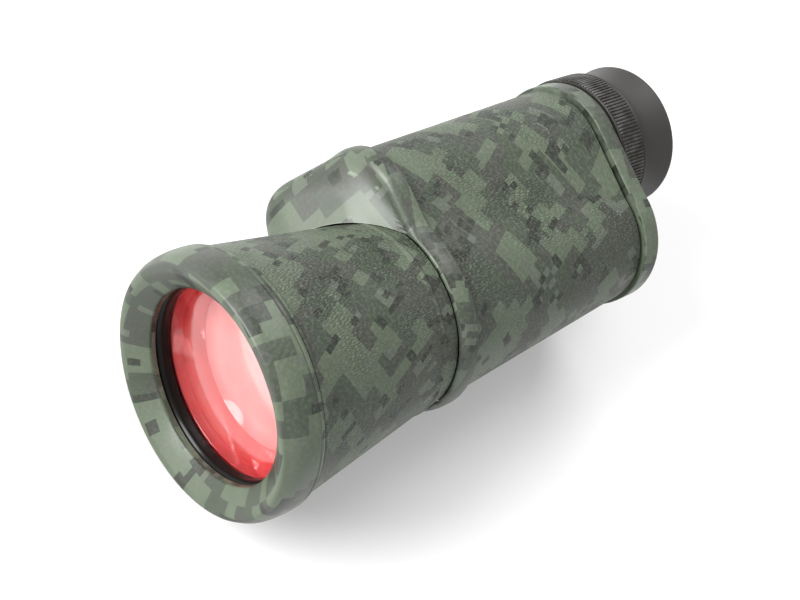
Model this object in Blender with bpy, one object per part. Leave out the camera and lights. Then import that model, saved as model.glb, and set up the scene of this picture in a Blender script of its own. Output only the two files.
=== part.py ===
"""A 10x50 prism monocular with a ranging reticle, as an assembly of separate parts.

Everything is drawn in optical coordinates, in metres: +Y runs along the optical axis from the
objective to the eye, the objective axis is x = 0, z = 0, and the eyepiece axis lies at
x = -EYEPIECE_OFFSET. One empty then carries the whole assembly to its place on the ground, with
+Z up and the middle of its bounding box over the world origin.
"""

import math
from collections import namedtuple

import bmesh
import bpy
from mathutils import Matrix, Vector

MM = 0.001

# Overall sizes
EYEPIECE_OFFSET = 26.0 * MM
OPENING_RADIUS = 26.0 * MM
TUBE_END_Y = 60.2 * MM
BODY_FRONT_Y = 66.5 * MM
BODY_LENGTH = 78.5 * MM
FIT_GAP = 0.3 * MM
RUN_GAP = 0.3 * MM

# Cutters run past the faces that they open by this much
CUT_PAST = 1.0 * MM

# Hood: a turned ring with a flat standing rim and a lip that slopes in to the opening
HOOD_RADIUS = OPENING_RADIUS + 9.5 * MM
RIM_Y = -4.1 * MM
RIM_RADIUS = HOOD_RADIUS - 2.5 * MM
RIM_WIDTH = 1.6 * MM
HOOD_ROUND = 3.0 * MM
HOOD_REAR_Y = 7.3 * MM
LIP_DEPTH = 2.2 * MM

# Objective tube and what it holds
LENS_RADIUS = OPENING_RADIUS + 1.5 * MM
CELL_RADIUS = LENS_RADIUS + 2.9 * MM
CELL_REAR_Y = 22.0 * MM
TUBE_SPIGOT_WALL = 1.5 * MM
NEAR_FRONT_RADIUS = 27.3 * MM
TUBE_FRONT_RADIUS = HOOD_RADIUS - 0.6 * MM
TUBE_REAR_RADIUS = NEAR_FRONT_RADIUS - 0.1 * MM
TUBE_WALL = 2.4 * MM
TUBE_END_WALL = 1.0 * MM
TUBE_END_TAPER = 3.0 * MM
TUBE_NECK_RADIUS = TUBE_REAR_RADIUS - 6.4 * MM
TUBE_NECK_WALL = 1.8 * MM
TUBE_NECK_THREAD = 3.0 * MM
LOCK_RING_LENGTH = 2.4 * MM
LOCK_RING_RADIUS = TUBE_NECK_RADIUS + 1.5 * MM
BEAD_WIDTH = 1.2 * MM
BEAD_HEIGHT = 0.35 * MM
RIDGE_FROM_END = 5.2 * MM
LENS_FRONT_Y = 6.9 * MM
LENS_FRONT_SAG = 3.6 * MM
LENS_JOINT_SAG = 4.5 * MM
CROWN_EDGE = 1.5 * MM
FLINT_EDGE = 6.5 * MM
FLINT_REAR_SAG = 0.4 * MM
LENS_SEAT = 2.5 * MM
RETAINING_RING_INNER = OPENING_RADIUS - 0.4 * MM
RETAINER_THREAD = 0.7 * MM
BAFFLE_Y = 40.0 * MM
BAFFLE_THICKNESS = 1.5 * MM
BAFFLE_OPENING = 19.5 * MM
BAFFLE_BEVEL = 1.0 * MM
O_RING_SECTION = 0.6 * MM
O_RING_FROM_REAR = 4.0 * MM
O_RING_GROOVE_HALF = 1.0 * MM
O_RING_GROOVE_DEPTH = 1.5 * MM
O_RING_LIFT = 0.35 * MM

# Walls of the body and its covers
SKIN = 1.2 * MM
HOUSING_WALL = 2.2 * MM
COVER_WALL = 2.2 * MM
SHOULDER_SHARE = 0.55
BAND_PROUD = 1.7 * MM
REAR_PROUD = 1.2 * MM
GASKET = 0.7 * MM
GASKET_WIDTH = 2.4 * MM
REAR_COVER_LENGTH = 6.9 * MM
REAR_COVER_BACK = 3.0 * MM
REAR_EDGE_ROUND = 1.3 * MM
REAR_GASKET_INSET = 0.6 * MM
BOSS_RADIUS = 3.0 * MM
BOSS_INSET = 2.5 * MM
SCREW_RADIUS = 1.0 * MM
SCREW_HEAD_RADIUS = 1.9 * MM
SCREW_HEAD_LENGTH = 1.2 * MM
SCREW_GRIP = 6.0 * MM
SCREW_SLOT = 0.5 * MM
SHELF_BOSS_LENGTH = 8.0 * MM
REAR_BOSS_FROM_SHELF = 5.0 * MM

# Eyepiece
EYE_LENS_RADIUS = 10.6 * MM
CARRIER_BORE = EYE_LENS_RADIUS + FIT_GAP
CARRIER_FLANGE_LENGTH = 1.8 * MM
SLEEVE_RADIUS = CARRIER_BORE + 5.0 * MM
SLEEVE_WALL = 2.5 * MM
SLEEVE_STEP = 1.2 * MM
SLEEVE_SHOULDER = 0.6 * MM
SLEEVE_FLANGE = SLEEVE_RADIUS + 2.7 * MM
SLEEVE_FLANGE_LENGTH = 2.4 * MM
RETICLE_THICKNESS = 1.6 * MM
RETICLE_FROM_CARRIER = 6.5 * MM
RETICLE_STOP = 0.8 * MM
RETICLE_STOP_LENGTH = 2.0 * MM
RETICLE_CAGE_WALL = 1.2 * MM
RETICLE_KEEPER_WALL = 1.0 * MM
FOCUS_RING_RADIUS = SLEEVE_RADIUS + 7.7 * MM
FOCUS_RING_LENGTH = 11.1 * MM
FOCUS_RING_WEB = 7.4 * MM
FOCUS_RING_RIM = 2.6 * MM
FOCUS_RING_EDGE = 0.5 * MM
RING_NUT_LENGTH = 2.0 * MM
RING_NUT_CLEAR = 1.2 * MM
DRIVE_PIN_RADIUS = 1.0 * MM
DRIVE_GROOVE_DEPTH = 1.7 * MM
DRIVE_GROOVE_INSET = 0.6 * MM
FOCUS_TRAVEL = 3.6 * MM
EYECUP_NECK_RADIUS = FOCUS_RING_RADIUS - 2.2 * MM
EYECUP_RIM_RADIUS = FOCUS_RING_RADIUS - 0.6 * MM
EYECUP_LENGTH = 13.6 * MM
EYECUP_WALL = 2.2 * MM
EYECUP_FOOT = 2.0 * MM
EYECUP_FOOT_SLOPE = 0.6 * MM
EYECUP_OPENING = EYE_LENS_RADIUS + 1.0 * MM
EYECUP_ROUND = 0.6 * MM
EYECUP_FLARE_SHARE = 0.93

# Lenses of the eyepiece, measured along the axis
FIELD_LENS_FROM_CARRIER = 2.0 * MM
FIELD_LENS_RISE = 1.6 * MM
FIELD_LENS_EDGE = 3.0 * MM
EYE_LENS_FRONT_SAG = 1.4 * MM
EYE_LENS_EDGE = 3.0 * MM
EYE_LENS_REAR_SAG = 0.6 * MM
EYE_KEEPER_LENGTH = 2.4 * MM
EYE_KEEPER_WALL = 1.0 * MM
SPACER_WALL = 0.9 * MM

# Prisms on their shelf
PRISM_STEP = EYEPIECE_OFFSET / math.sqrt(2.0)
SHELF_THICKNESS = 3.0 * MM
SHELF_FROM_PRISM = 5.6 * MM
PRISM_APERTURE = 8.6 * MM
RETICLE_RADIUS = PRISM_APERTURE + 1.2 * MM
PRISM_HALF_WIDTH = 7.2 * MM
PRISM_END_TRIM = 3.2 * MM
PRISM_HALF_LENGTH = PRISM_STEP - PRISM_END_TRIM
PRISM_RIDGE_TRIM = 0.6 * MM
PRISM_TO_WALL = 0.4 * MM
CLIP_THICKNESS = 0.6 * MM
CLIP_WIDTH = 5.0 * MM
CLIP_FOOT = 3.6 * MM

# Body outline behind the front cover and at the rear end
NEAR_REAR_RADIUS = SLEEVE_FLANGE + 3.4 * MM
REAR_WAIST_DIP = 0.3 * MM
LOBE_FRONT_HALF_WIDTH = NEAR_FRONT_RADIUS - 4.5 * MM
LOBE_FRONT_CORNER = min(17.0 * MM, 0.9 * LOBE_FRONT_HALF_WIDTH)
LOBE_FRONT_TOP = EYEPIECE_OFFSET + 18.6 * MM
PRISM_REACH = EYEPIECE_OFFSET / 4 + (PRISM_HALF_LENGTH + PRISM_HALF_WIDTH) / math.sqrt(2.0)
FAR_HALF_WIDTH = PRISM_REACH + PRISM_TO_WALL + HOUSING_WALL + FIT_GAP + SKIN
WAIST_RADIUS = 14.0 * MM

# Nose of the front cover
NOSE_FRONT_Y = 45.5 * MM
NOSE_NEAR_SLOPE = math.radians(27.0)
NOSE_FAR_SLOPE = math.radians(40.0)
NOSE_RIDGE_NEAR = -7.0 * MM
NOSE_RIDGE_FAR = -13.0 * MM
NOSE_HALF_WIDTH = LOBE_FRONT_HALF_WIDTH - 2.0 * MM
NOSE_INNER_X = 8.0 * MM
NOSE_CORNER = 13.0 * MM
NOSE_ROOT = 2.0 * MM
SEAM_STEP = 0.01 * MM
NOSE_SETBACK = 0.3 * MM
NOSE_EDGE = 2.5 * MM

FINE = 32
COARSE = 20

# Places that follow from the sizes above
BODY_REAR_Y = BODY_FRONT_Y + BODY_LENGTH
COVER_FRONT_Y = TUBE_END_Y + FIT_GAP
COVER_REAR_Y = BODY_FRONT_Y - FIT_GAP
REAR_GASKET_Y = BODY_REAR_Y + FIT_GAP
REAR_COVER_Y = REAR_GASKET_Y + GASKET + FIT_GAP
REAR_FACE_Y = REAR_COVER_Y + REAR_COVER_LENGTH
HOUSING_FRONT_Y = COVER_REAR_Y + FIT_GAP + GASKET + FIT_GAP
HOUSING_REAR_Y = BODY_REAR_Y
SHELF_Y = BODY_REAR_Y - PRISM_STEP - SHELF_FROM_PRISM
SHELF_REAR_Y = SHELF_Y + SHELF_THICKNESS
CLIP_INNER_HEIGHT = PRISM_STEP - PRISM_RIDGE_TRIM + FIT_GAP
CLIP_TOP_Y = SHELF_REAR_Y + FIT_GAP + CLIP_INNER_HEIGHT + CLIP_THICKNESS
CARRIER_FRONT_Y = CLIP_TOP_Y + FIT_GAP + SLEEVE_STEP + RUN_GAP
RING_FRONT_Y = REAR_FACE_Y + RUN_GAP
RING_REAR_Y = RING_FRONT_Y + FOCUS_RING_LENGTH
RING_NUT_Y = RING_FRONT_Y + FOCUS_RING_WEB + RUN_GAP
CARRIER_FLANGE_Y = RING_NUT_Y + RING_NUT_LENGTH + RUN_GAP
CARRIER_REAR_Y = CARRIER_FLANGE_Y + CARRIER_FLANGE_LENGTH
EYECUP_Y = max(CARRIER_REAR_Y, RING_REAR_Y) + RUN_GAP
PIN_CLEAR = DRIVE_PIN_RADIUS + RUN_GAP
GROOVE_FRONT_Y = RING_FRONT_Y + DRIVE_GROOVE_INSET
PIN_Y = GROOVE_FRONT_Y + PIN_CLEAR
GROOVE_REAR_Y = PIN_Y + FOCUS_TRAVEL + PIN_CLEAR

Section = namedtuple("Section", "near_radius near_half far_half lobe_x corner top waist")
FRONT_SECTION = Section(
    NEAR_FRONT_RADIUS,
    LOBE_FRONT_HALF_WIDTH,
    FAR_HALF_WIDTH,
    LOBE_FRONT_TOP - LOBE_FRONT_CORNER,
    LOBE_FRONT_CORNER,
    LOBE_FRONT_TOP,
    WAIST_RADIUS,
)
REAR_HALF_WIDTH = NEAR_REAR_RADIUS - REAR_WAIST_DIP
REAR_SECTION = Section(
    NEAR_REAR_RADIUS,
    REAR_HALF_WIDTH,
    FAR_HALF_WIDTH,
    EYEPIECE_OFFSET,
    REAR_HALF_WIDTH,
    EYEPIECE_OFFSET + REAR_HALF_WIDTH,
    WAIST_RADIUS,
)


def section_at(y):
    """The skin's outline at a place along the body, between its front and rear outlines."""
    share = (y - BODY_FRONT_Y) / BODY_LENGTH
    return Section(*(a + share * (b - a) for a, b in zip(FRONT_SECTION, REAR_SECTION)))


def inset(section, depth):
    """The outline a wall's depth further in."""
    return Section(
        section.near_radius - depth,
        section.near_half - depth,
        section.far_half - depth,
        section.lobe_x,
        section.corner - depth,
        section.top - depth,
        section.waist + depth,
    )


def arc(centre, radii, start, end, steps):
    """Points (u, v) on an elliptical arc, without its last one."""
    points = []
    for step in range(steps):
        angle = start + (end - start) * step / steps
        points.append((centre[0] + radii[0] * math.cos(angle), centre[1] + radii[1] * math.sin(angle)))
    return points


def outline(section):
    """The closed outline in (u, v): u runs towards the eyepiece, v towards the near side."""
    reach = section.near_radius + section.waist
    rise = section.near_half + section.waist
    waist_u = math.sqrt(max(reach**2 - rise**2, 0.0))
    meet = math.atan2(rise, waist_u)
    half = math.pi / 2
    points = arc((0, 0), (section.near_radius,) * 2, math.pi, meet, 10)
    points += arc((waist_u, rise), (section.waist,) * 2, meet - math.pi, -half, 4)
    points.append((waist_u, section.near_half))
    points += arc(
        (section.lobe_x, section.near_half - section.corner), (section.corner,) * 2, half, 0.0, 8
    )
    points.append((section.top, section.near_half - section.corner))
    far_radii = (section.top - section.lobe_x, section.far_half)
    points += arc((section.lobe_x, 0), far_radii, 0.0, -half, 8)[1:]
    points.append((section.lobe_x, -section.far_half))
    points += arc((0, 0), (section.near_radius, section.far_half), -half, -math.pi, 8)
    return points


def ring_of(section, y):
    return [Vector((-u, y, v)) for u, v in outline(section)]


def clear_scene():
    for old in list(bpy.data.objects):
        bpy.data.objects.remove(old, do_unlink=True)


def material(name, colour, roughness, metallic=0.0, transmission=0.0):
    made = bpy.data.materials.new(name)
    made.use_nodes = True
    shader = made.node_tree.nodes["Principled BSDF"]
    shader.inputs["Base Color"].default_value = (*colour, 1.0)
    shader.inputs["Roughness"].default_value = roughness
    shader.inputs["Metallic"].default_value = metallic
    shader.inputs["Transmission Weight"].default_value = transmission
    return made


def add_object(name, bm, look, parent, location=(0, 0, 0)):
    """Closes a bmesh into a named object, smooth-shaded up to 35 degrees."""
    bmesh.ops.recalc_face_normals(bm, faces=bm.faces)
    mesh = bpy.data.meshes.new(name)
    bm.to_mesh(mesh)
    bm.free()
    mesh.shade_smooth()
    mesh.set_sharp_from_angle(angle=math.radians(35))
    mesh.materials.append(look)
    made = bpy.data.objects.new(name, mesh)
    made.location = location
    made.parent = parent
    bpy.context.scene.collection.objects.link(made)
    return made


def turned_mesh(profile, segments):
    """A profile of (y, r) points, closed on itself, spun about the Y axis."""
    bm = bmesh.new()
    corners = [bm.verts.new((r, y, 0)) for y, r in profile]
    sides = zip(corners, corners[1:] + corners[:1])
    edges = [bm.edges.new((a, b)) for a, b in sides if a.co.x > 0 or b.co.x > 0]
    bmesh.ops.spin(
        bm,
        geom=corners + edges,
        cent=(0, 0, 0),
        axis=(0, 1, 0),
        angle=2 * math.pi,
        steps=segments,
        use_merge=True,
    )
    bmesh.ops.remove_doubles(bm, verts=bm.verts, dist=1e-7)
    bmesh.ops.dissolve_degenerate(bm, edges=bm.edges, dist=1e-7)
    return bm


def turned(name, profile, look, parent, location=(0, 0, 0), segments=FINE):
    return add_object(name, turned_mesh(profile, segments), look, parent, location)


def plain_ring(front, rear, inner, outer):
    return [(front, inner), (front, outer), (rear, outer), (rear, inner)]


def arc_profile(centre, radius, start, end, steps=4):
    """Points (y, r) on a round from one angle to another, both ends included."""
    points = []
    for step in range(steps + 1):
        angle = math.radians(start + (end - start) * step / steps)
        points.append((centre[0] + radius * math.cos(angle), centre[1] + radius * math.sin(angle)))
    return points


def lens_surface(vertex_y, rim_y, radius, steps=4):
    """Points (y, r) from the axis to the rim of a spherical surface."""
    points = []
    for step in range(steps + 1):
        share = step / steps
        points.append((vertex_y + (rim_y - vertex_y) * share**2, radius * share))
    return points


def lens_profile(front_vertex, front_rim, rear_rim, rear_vertex, radius):
    front = lens_surface(front_vertex, front_rim, radius)
    rear = lens_surface(rear_vertex, rear_rim, radius)
    return front + rear[::-1]


def skin_rings(bm, rings, closed):
    """Faces between successive rings; a closed run joins its ends, an open one gets end faces."""
    loops = [[bm.verts.new(point) for point in ring] for ring in rings]
    pairs = list(zip(loops, loops[1:]))
    if closed:
        pairs.append((loops[-1], loops[0]))
    for first, second in pairs:
        for i in range(len(first)):
            j = (i + 1) % len(first)
            bm.faces.new((first[i], first[j], second[j], second[i]))
    if not closed:
        bm.faces.new(loops[0])
        bm.faces.new(loops[-1])


def solid_loft(rings):
    bm = bmesh.new()
    skin_rings(bm, rings, closed=False)
    return bm


def tube_loft(outer, inner):
    bm = bmesh.new()
    skin_rings(bm, outer + inner[::-1], closed=True)
    return bm


def body_rings(depth, front, rear, steps=4):
    stations = [front + (rear - front) * step / steps for step in range(steps + 1)]
    return [ring_of(inset(section_at(y), depth), y) for y in stations]


def cylinder_mesh(front, rear, radius, segments=COARSE):
    return turned_mesh([(front, 0.0), (front, radius), (rear, radius), (rear, 0.0)], segments)


def cutter(name, bm, parent, location=(0, 0, 0)):
    made = add_object(name, bm, bpy.data.materials["cutter"], parent, location)
    made.hide_render = True
    made.display_type = "WIRE"
    return made


def boolean(target, operand, operation, solver):
    change = target.modifiers.new(operand.name, "BOOLEAN")
    change.object = operand
    change.operation = operation
    change.solver = solver


def cut(target, name, bm, parent, location=(0, 0, 0), solver="EXACT"):
    boolean(target, cutter(name, bm, parent, location), "DIFFERENCE", solver)


def fuse(target, name, bm, parent, location=(0, 0, 0), solver="EXACT"):
    boolean(target, cutter(name, bm, parent, location), "UNION", solver)


def tube_radius(y, extra=0.0):
    """The tube's outer radius at a place along it."""
    share = (y - HOOD_REAR_Y) / (TUBE_END_Y - HOOD_REAR_Y)
    return TUBE_FRONT_RADIUS + (TUBE_REAR_RADIUS - TUBE_FRONT_RADIUS) * share + extra


def cell_front_y():
    return LIP_DEPTH + FIT_GAP


def make_hood(root, looks):
    spigot = CELL_RADIUS + FIT_GAP + TUBE_SPIGOT_WALL + FIT_GAP
    profile = [(0.0, OPENING_RADIUS), (RIM_Y, RIM_RADIUS - RIM_WIDTH), (RIM_Y, RIM_RADIUS)]
    drop = HOOD_RADIUS - RIM_RADIUS
    profile += arc_profile((RIM_Y + HOOD_ROUND, RIM_RADIUS), drop, 160, 90)
    profile += [
        (HOOD_REAR_Y - BEAD_WIDTH, HOOD_RADIUS),
        (HOOD_REAR_Y - BEAD_WIDTH / 2, HOOD_RADIUS - BEAD_HEIGHT),
        (HOOD_REAR_Y, HOOD_RADIUS - BEAD_HEIGHT),
        (HOOD_REAR_Y, spigot),
        (LIP_DEPTH, spigot),
        (LIP_DEPTH, OPENING_RADIUS),
    ]
    turned("objective_hood", profile, looks["camo"], root)


def make_tube(root, looks):
    bore = CELL_RADIUS + FIT_GAP
    front = HOOD_REAR_Y + FIT_GAP
    ridge = TUBE_END_Y - RIDGE_FROM_END
    inner_rear = TUBE_NECK_RADIUS - TUBE_NECK_WALL
    neck_end = COVER_FRONT_Y + COVER_WALL + FIT_GAP + TUBE_NECK_THREAD
    seat_end = CELL_REAR_Y + FIT_GAP
    taper_y = TUBE_END_Y - TUBE_END_TAPER
    profile = [
        (cell_front_y(), bore),
        (cell_front_y(), bore + TUBE_SPIGOT_WALL),
        (front, bore + TUBE_SPIGOT_WALL),
        (front, tube_radius(front)),
        (front + BEAD_WIDTH, tube_radius(front + BEAD_WIDTH)),
        (front + 1.5 * BEAD_WIDTH, tube_radius(front + 1.5 * BEAD_WIDTH, -BEAD_HEIGHT)),
        (ridge - BEAD_WIDTH, tube_radius(ridge - BEAD_WIDTH, -BEAD_HEIGHT)),
        (ridge, tube_radius(ridge)),
        (ridge + BEAD_WIDTH, tube_radius(ridge + BEAD_WIDTH, -BEAD_HEIGHT)),
        (TUBE_END_Y, tube_radius(TUBE_END_Y, -BEAD_HEIGHT)),
        (TUBE_END_Y, TUBE_NECK_RADIUS),
        (neck_end, TUBE_NECK_RADIUS),
        (neck_end, inner_rear),
        (TUBE_END_Y - TUBE_END_WALL, inner_rear),
        (taper_y, tube_radius(taper_y, -TUBE_WALL)),
        (seat_end, tube_radius(seat_end, -TUBE_WALL)),
        (seat_end, bore),
    ]
    turned("objective_tube", profile, looks["grain"], root)
    baffle_rear = BAFFLE_Y + BAFFLE_THICKNESS
    baffle_radius = tube_radius(baffle_rear, -TUBE_WALL - FIT_GAP)
    baffle = [
        (BAFFLE_Y, BAFFLE_OPENING),
        (BAFFLE_Y, baffle_radius),
        (baffle_rear, baffle_radius),
        (baffle_rear, BAFFLE_OPENING + BAFFLE_BEVEL),
    ]
    turned("objective_baffle", baffle, looks["black"], root, segments=COARSE)
    nut_y = COVER_FRONT_Y + COVER_WALL + FIT_GAP
    nut = plain_ring(nut_y, nut_y + LOCK_RING_LENGTH, TUBE_NECK_RADIUS + FIT_GAP, LOCK_RING_RADIUS)
    turned("tube_lock_ring", nut, looks["black"], root)


def make_objective(root, looks):
    front = cell_front_y()
    seat = LENS_RADIUS + FIT_GAP
    thread = seat + RETAINER_THREAD
    ring_end = LENS_FRONT_Y - FIT_GAP
    rear_of_lens = LENS_FRONT_Y + CROWN_EDGE + FIT_GAP + FLINT_EDGE
    groove = CELL_REAR_Y - O_RING_FROM_REAR
    groove_floor = CELL_RADIUS - O_RING_GROOVE_DEPTH
    profile = [
        (front, thread),
        (front, CELL_RADIUS),
        (groove - O_RING_GROOVE_HALF, CELL_RADIUS),
        (groove - O_RING_GROOVE_HALF, groove_floor),
        (groove + O_RING_GROOVE_HALF, groove_floor),
        (groove + O_RING_GROOVE_HALF, CELL_RADIUS),
        (CELL_REAR_Y, CELL_RADIUS),
        (CELL_REAR_Y, LENS_RADIUS - LENS_SEAT),
        (rear_of_lens + FIT_GAP, LENS_RADIUS - LENS_SEAT),
        (rear_of_lens + FIT_GAP, seat),
        (ring_end, seat),
        (ring_end, thread),
    ]
    turned("objective_cell", profile, looks["black"], root)
    round_radius = (ring_end - front) / 3
    lip = RETAINING_RING_INNER + round_radius
    ring = arc_profile((front + round_radius, lip), round_radius, 270, 180, 3)
    bulge = LENS_FRONT_SAG * (1 - (RETAINING_RING_INNER / LENS_RADIUS) ** 2)
    ring += [
        (front, thread - FIT_GAP),
        (ring_end, thread - FIT_GAP),
        (ring_end, LENS_RADIUS),
        (ring_end - bulge, RETAINING_RING_INNER),
    ]
    turned("lens_retaining_ring", ring, looks["black"], root)
    crown_rear = LENS_FRONT_Y + CROWN_EDGE
    crown = lens_profile(
        LENS_FRONT_Y - LENS_FRONT_SAG,
        LENS_FRONT_Y,
        crown_rear,
        crown_rear + LENS_JOINT_SAG,
        LENS_RADIUS,
    )
    turned("objective_crown_lens", crown, looks["ruby"], root)
    flint_front = crown_rear + FIT_GAP
    flint = lens_profile(
        flint_front + LENS_JOINT_SAG,
        flint_front,
        rear_of_lens,
        rear_of_lens - FLINT_REAR_SAG,
        LENS_RADIUS,
    )
    turned("objective_flint_lens", flint, looks["glass"], root)
    section_centre = (groove, groove_floor + O_RING_LIFT + O_RING_SECTION)
    seal = arc_profile(section_centre, O_RING_SECTION, 0, 315, 7)
    turned("objective_o_ring", seal, looks["rubber"], root)


def nose_mesh(depth):
    """The nose of the front cover, or with a depth the hollow inside it: a rounded block that two
    slopes cut back from a ridge on the far side."""
    top = LOBE_FRONT_TOP - NOSE_SETBACK - depth
    half = NOSE_HALF_WIDTH - depth
    corner = NOSE_CORNER - depth
    inner = NOSE_INNER_X + depth
    bm = bmesh.new()
    face = [(inner, half)]
    face += arc((top - corner, half - corner), (corner, corner), math.pi / 2, 0.0, 6)
    face.append((top, half - corner))
    face += arc((top - corner, corner - half), (corner, corner), 0.0, -math.pi / 2, 6)
    face += [(top - corner, -half), (inner, -half)]
    rear = COVER_REAR_Y - NOSE_ROOT if depth == 0 else COVER_REAR_Y + CUT_PAST
    front = NOSE_FRONT_Y + depth
    outline_verts = [bm.verts.new((-u, rear, v)) for u, v in dict.fromkeys(face)]
    bm.faces.new(outline_verts)
    grown = bmesh.ops.extrude_face_region(bm, geom=list(bm.faces))
    moved = [part for part in grown["geom"] if isinstance(part, bmesh.types.BMVert)]
    bmesh.ops.translate(bm, verts=moved, vec=(0, front - rear, 0))
    slopes = ((NOSE_RIDGE_NEAR, NOSE_NEAR_SLOPE, 1), (NOSE_RIDGE_FAR, NOSE_FAR_SLOPE, -1))
    for ridge, slope, side in slopes:
        normal = Vector((0, -math.cos(slope), side * math.sin(slope)))
        point = Vector((0, NOSE_FRONT_Y, ridge)) - normal * depth
        geometry = list(bm.verts) + list(bm.edges) + list(bm.faces)
        bmesh.ops.bisect_plane(
            bm, geom=geometry, plane_co=point, plane_no=normal, clear_outer=True, dist=1e-7
        )
        rim = [edge for edge in bm.edges if edge.is_boundary]
        bmesh.ops.contextual_create(bm, geom=rim)
    bmesh.ops.recalc_face_normals(bm, faces=bm.faces)
    edges = [edge for edge in bm.edges if min(v.co.y for v in edge.verts) < rear - 1e-6]
    sharp = [edge for edge in edges if edge.calc_face_angle(0.0) > math.radians(35)]
    if depth == 0:
        bmesh.ops.bevel(bm, geom=sharp, offset=NOSE_EDGE, segments=2, affect="EDGES", profile=0.5)
    return bm


def make_front_cover(root, looks):
    band = inset(FRONT_SECTION, -BAND_PROUD)
    rise = COVER_REAR_Y - COVER_FRONT_Y
    step_in = band.near_radius - TUBE_REAR_RADIUS
    rings = []
    for turn in (0, 30, 60, 90):
        angle = math.radians(turn)
        depth = step_in * (1 - math.sin(angle))
        y = COVER_FRONT_Y + rise * SHOULDER_SHARE * (1 - math.cos(angle))
        rings.append(ring_of(inset(band, depth), y))
    rings.append(ring_of(band, COVER_REAR_Y))
    cover = add_object("front_cover", solid_loft(rings), looks["camo"], root)
    fuse(cover, "nose_block", nose_mesh(0.0), root, solver="MANIFOLD")
    floor_y = COVER_FRONT_Y + COVER_WALL
    pocket = inset(band, BAND_PROUD + SKIN + FIT_GAP + HOUSING_WALL)
    hollow = solid_loft([ring_of(pocket, floor_y), ring_of(pocket, COVER_REAR_Y + CUT_PAST)])
    cut(cover, "cover_pocket", hollow, root, solver="MANIFOLD")
    cut(cover, "nose_hollow", nose_mesh(COVER_WALL), root, solver="MANIFOLD")
    near = NOSE_FRONT_Y - CUT_PAST
    clearance = FIT_GAP * 1.5
    seam = COVER_FRONT_Y - SEAM_STEP
    socket = [
        (near, 0.0),
        (near, tube_radius(near, clearance)),
        (seam, tube_radius(COVER_FRONT_Y, clearance)),
        (seam, TUBE_NECK_RADIUS + FIT_GAP),
        (COVER_REAR_Y + CUT_PAST, TUBE_NECK_RADIUS + FIT_GAP),
        (COVER_REAR_Y + CUT_PAST, 0.0),
    ]
    cut(cover, "tube_socket", turned_mesh(socket, FINE), root, solver="MANIFOLD")
    gasket_front = COVER_REAR_Y + FIT_GAP
    gasket_rear = gasket_front + GASKET
    depth = SKIN + FIT_GAP
    outer = body_rings(depth, gasket_front, gasket_rear, 1)
    inner = body_rings(depth + HOUSING_WALL, gasket_front, gasket_rear, 1)
    add_object("front_gasket", tube_loft(outer, inner), looks["rubber"], root)


def boss_places(y, far_x):
    """Three places (x, z) just inside the housing wall, for screw bosses: two round the objective
    axis and one on the far side."""
    inside = inset(section_at(y), SKIN + FIT_GAP + HOUSING_WALL + BOSS_INSET)
    return ((inside.near_radius, 0.0), (0.0, inside.near_radius), (far_x, -inside.far_half))


def rear_screw_places():
    return boss_places(HOUSING_REAR_Y, 0.0)


def shelf_screw_places():
    return boss_places(SHELF_Y, -EYEPIECE_OFFSET)


def make_body(root, looks):
    skin = tube_loft(
        body_rings(0.0, BODY_FRONT_Y, BODY_REAR_Y), body_rings(SKIN, BODY_FRONT_Y, BODY_REAR_Y)
    )
    add_object("rubber_armour", skin, looks["grain"], root)
    depth = SKIN + FIT_GAP
    shell = tube_loft(
        body_rings(depth, HOUSING_FRONT_Y, HOUSING_REAR_Y),
        body_rings(depth + HOUSING_WALL, HOUSING_FRONT_Y, HOUSING_REAR_Y),
    )
    housing = add_object("body_housing", shell, looks["alloy"], root)
    screw_end = REAR_FACE_Y - SCREW_HEAD_LENGTH - REAR_COVER_BACK - SCREW_GRIP
    rear_run = (SHELF_REAR_Y + FIT_GAP + REAR_BOSS_FROM_SHELF, HOUSING_REAR_Y - FIT_GAP)
    shelf_run = (SHELF_Y - FIT_GAP - SHELF_BOSS_LENGTH, SHELF_Y - FIT_GAP)
    add_bosses(housing, "rear", rear_run, screw_end, rear_screw_places(), root)
    add_bosses(housing, "shelf", shelf_run, SHELF_Y - SCREW_GRIP, shelf_screw_places(), root)


def add_bosses(housing, name, run, screw_end, places, root):
    """Tapped bosses on the inner wall; their drilled holes open at the rear end."""
    front, rear = run
    for index, (x, z) in enumerate(places, 1):
        boss = cylinder_mesh(front, rear, BOSS_RADIUS, 16)
        fuse(housing, f"{name}_boss_{index}", boss, root, (x, 0, z), "MANIFOLD")
        hole = cylinder_mesh(screw_end - CUT_PAST, rear + CUT_PAST, SCREW_RADIUS + FIT_GAP, 16)
        cut(housing, f"{name}_boss_hole_{index}", hole, root, (x, 0, z), "MANIFOLD")


def screw(name, tip, head_base, place, looks, parent):
    """A pan-head screw along Y with its head towards the eye end and a slot across it."""
    head_end = head_base + SCREW_HEAD_LENGTH
    profile = [
        (tip, 0.0),
        (tip, SCREW_RADIUS),
        (head_base, SCREW_RADIUS),
        (head_base, SCREW_HEAD_RADIUS),
        (head_end, SCREW_HEAD_RADIUS),
        (head_end, 0.0),
    ]
    made = turned(name, profile, looks["steel"], parent, (place[0], 0, place[1]), 16)
    bm = bmesh.new()
    bmesh.ops.create_cube(bm, size=1.0)
    size = Matrix.Diagonal((2.4 * SCREW_HEAD_RADIUS, SCREW_SLOT, SCREW_SLOT, 1.0))
    bmesh.ops.transform(bm, matrix=size, verts=bm.verts)
    bmesh.ops.translate(bm, verts=bm.verts, vec=(0, head_end, 0))
    cut(made, f"{name}_slot", bm, parent, (place[0], 0, place[1]))
    return made


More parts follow.
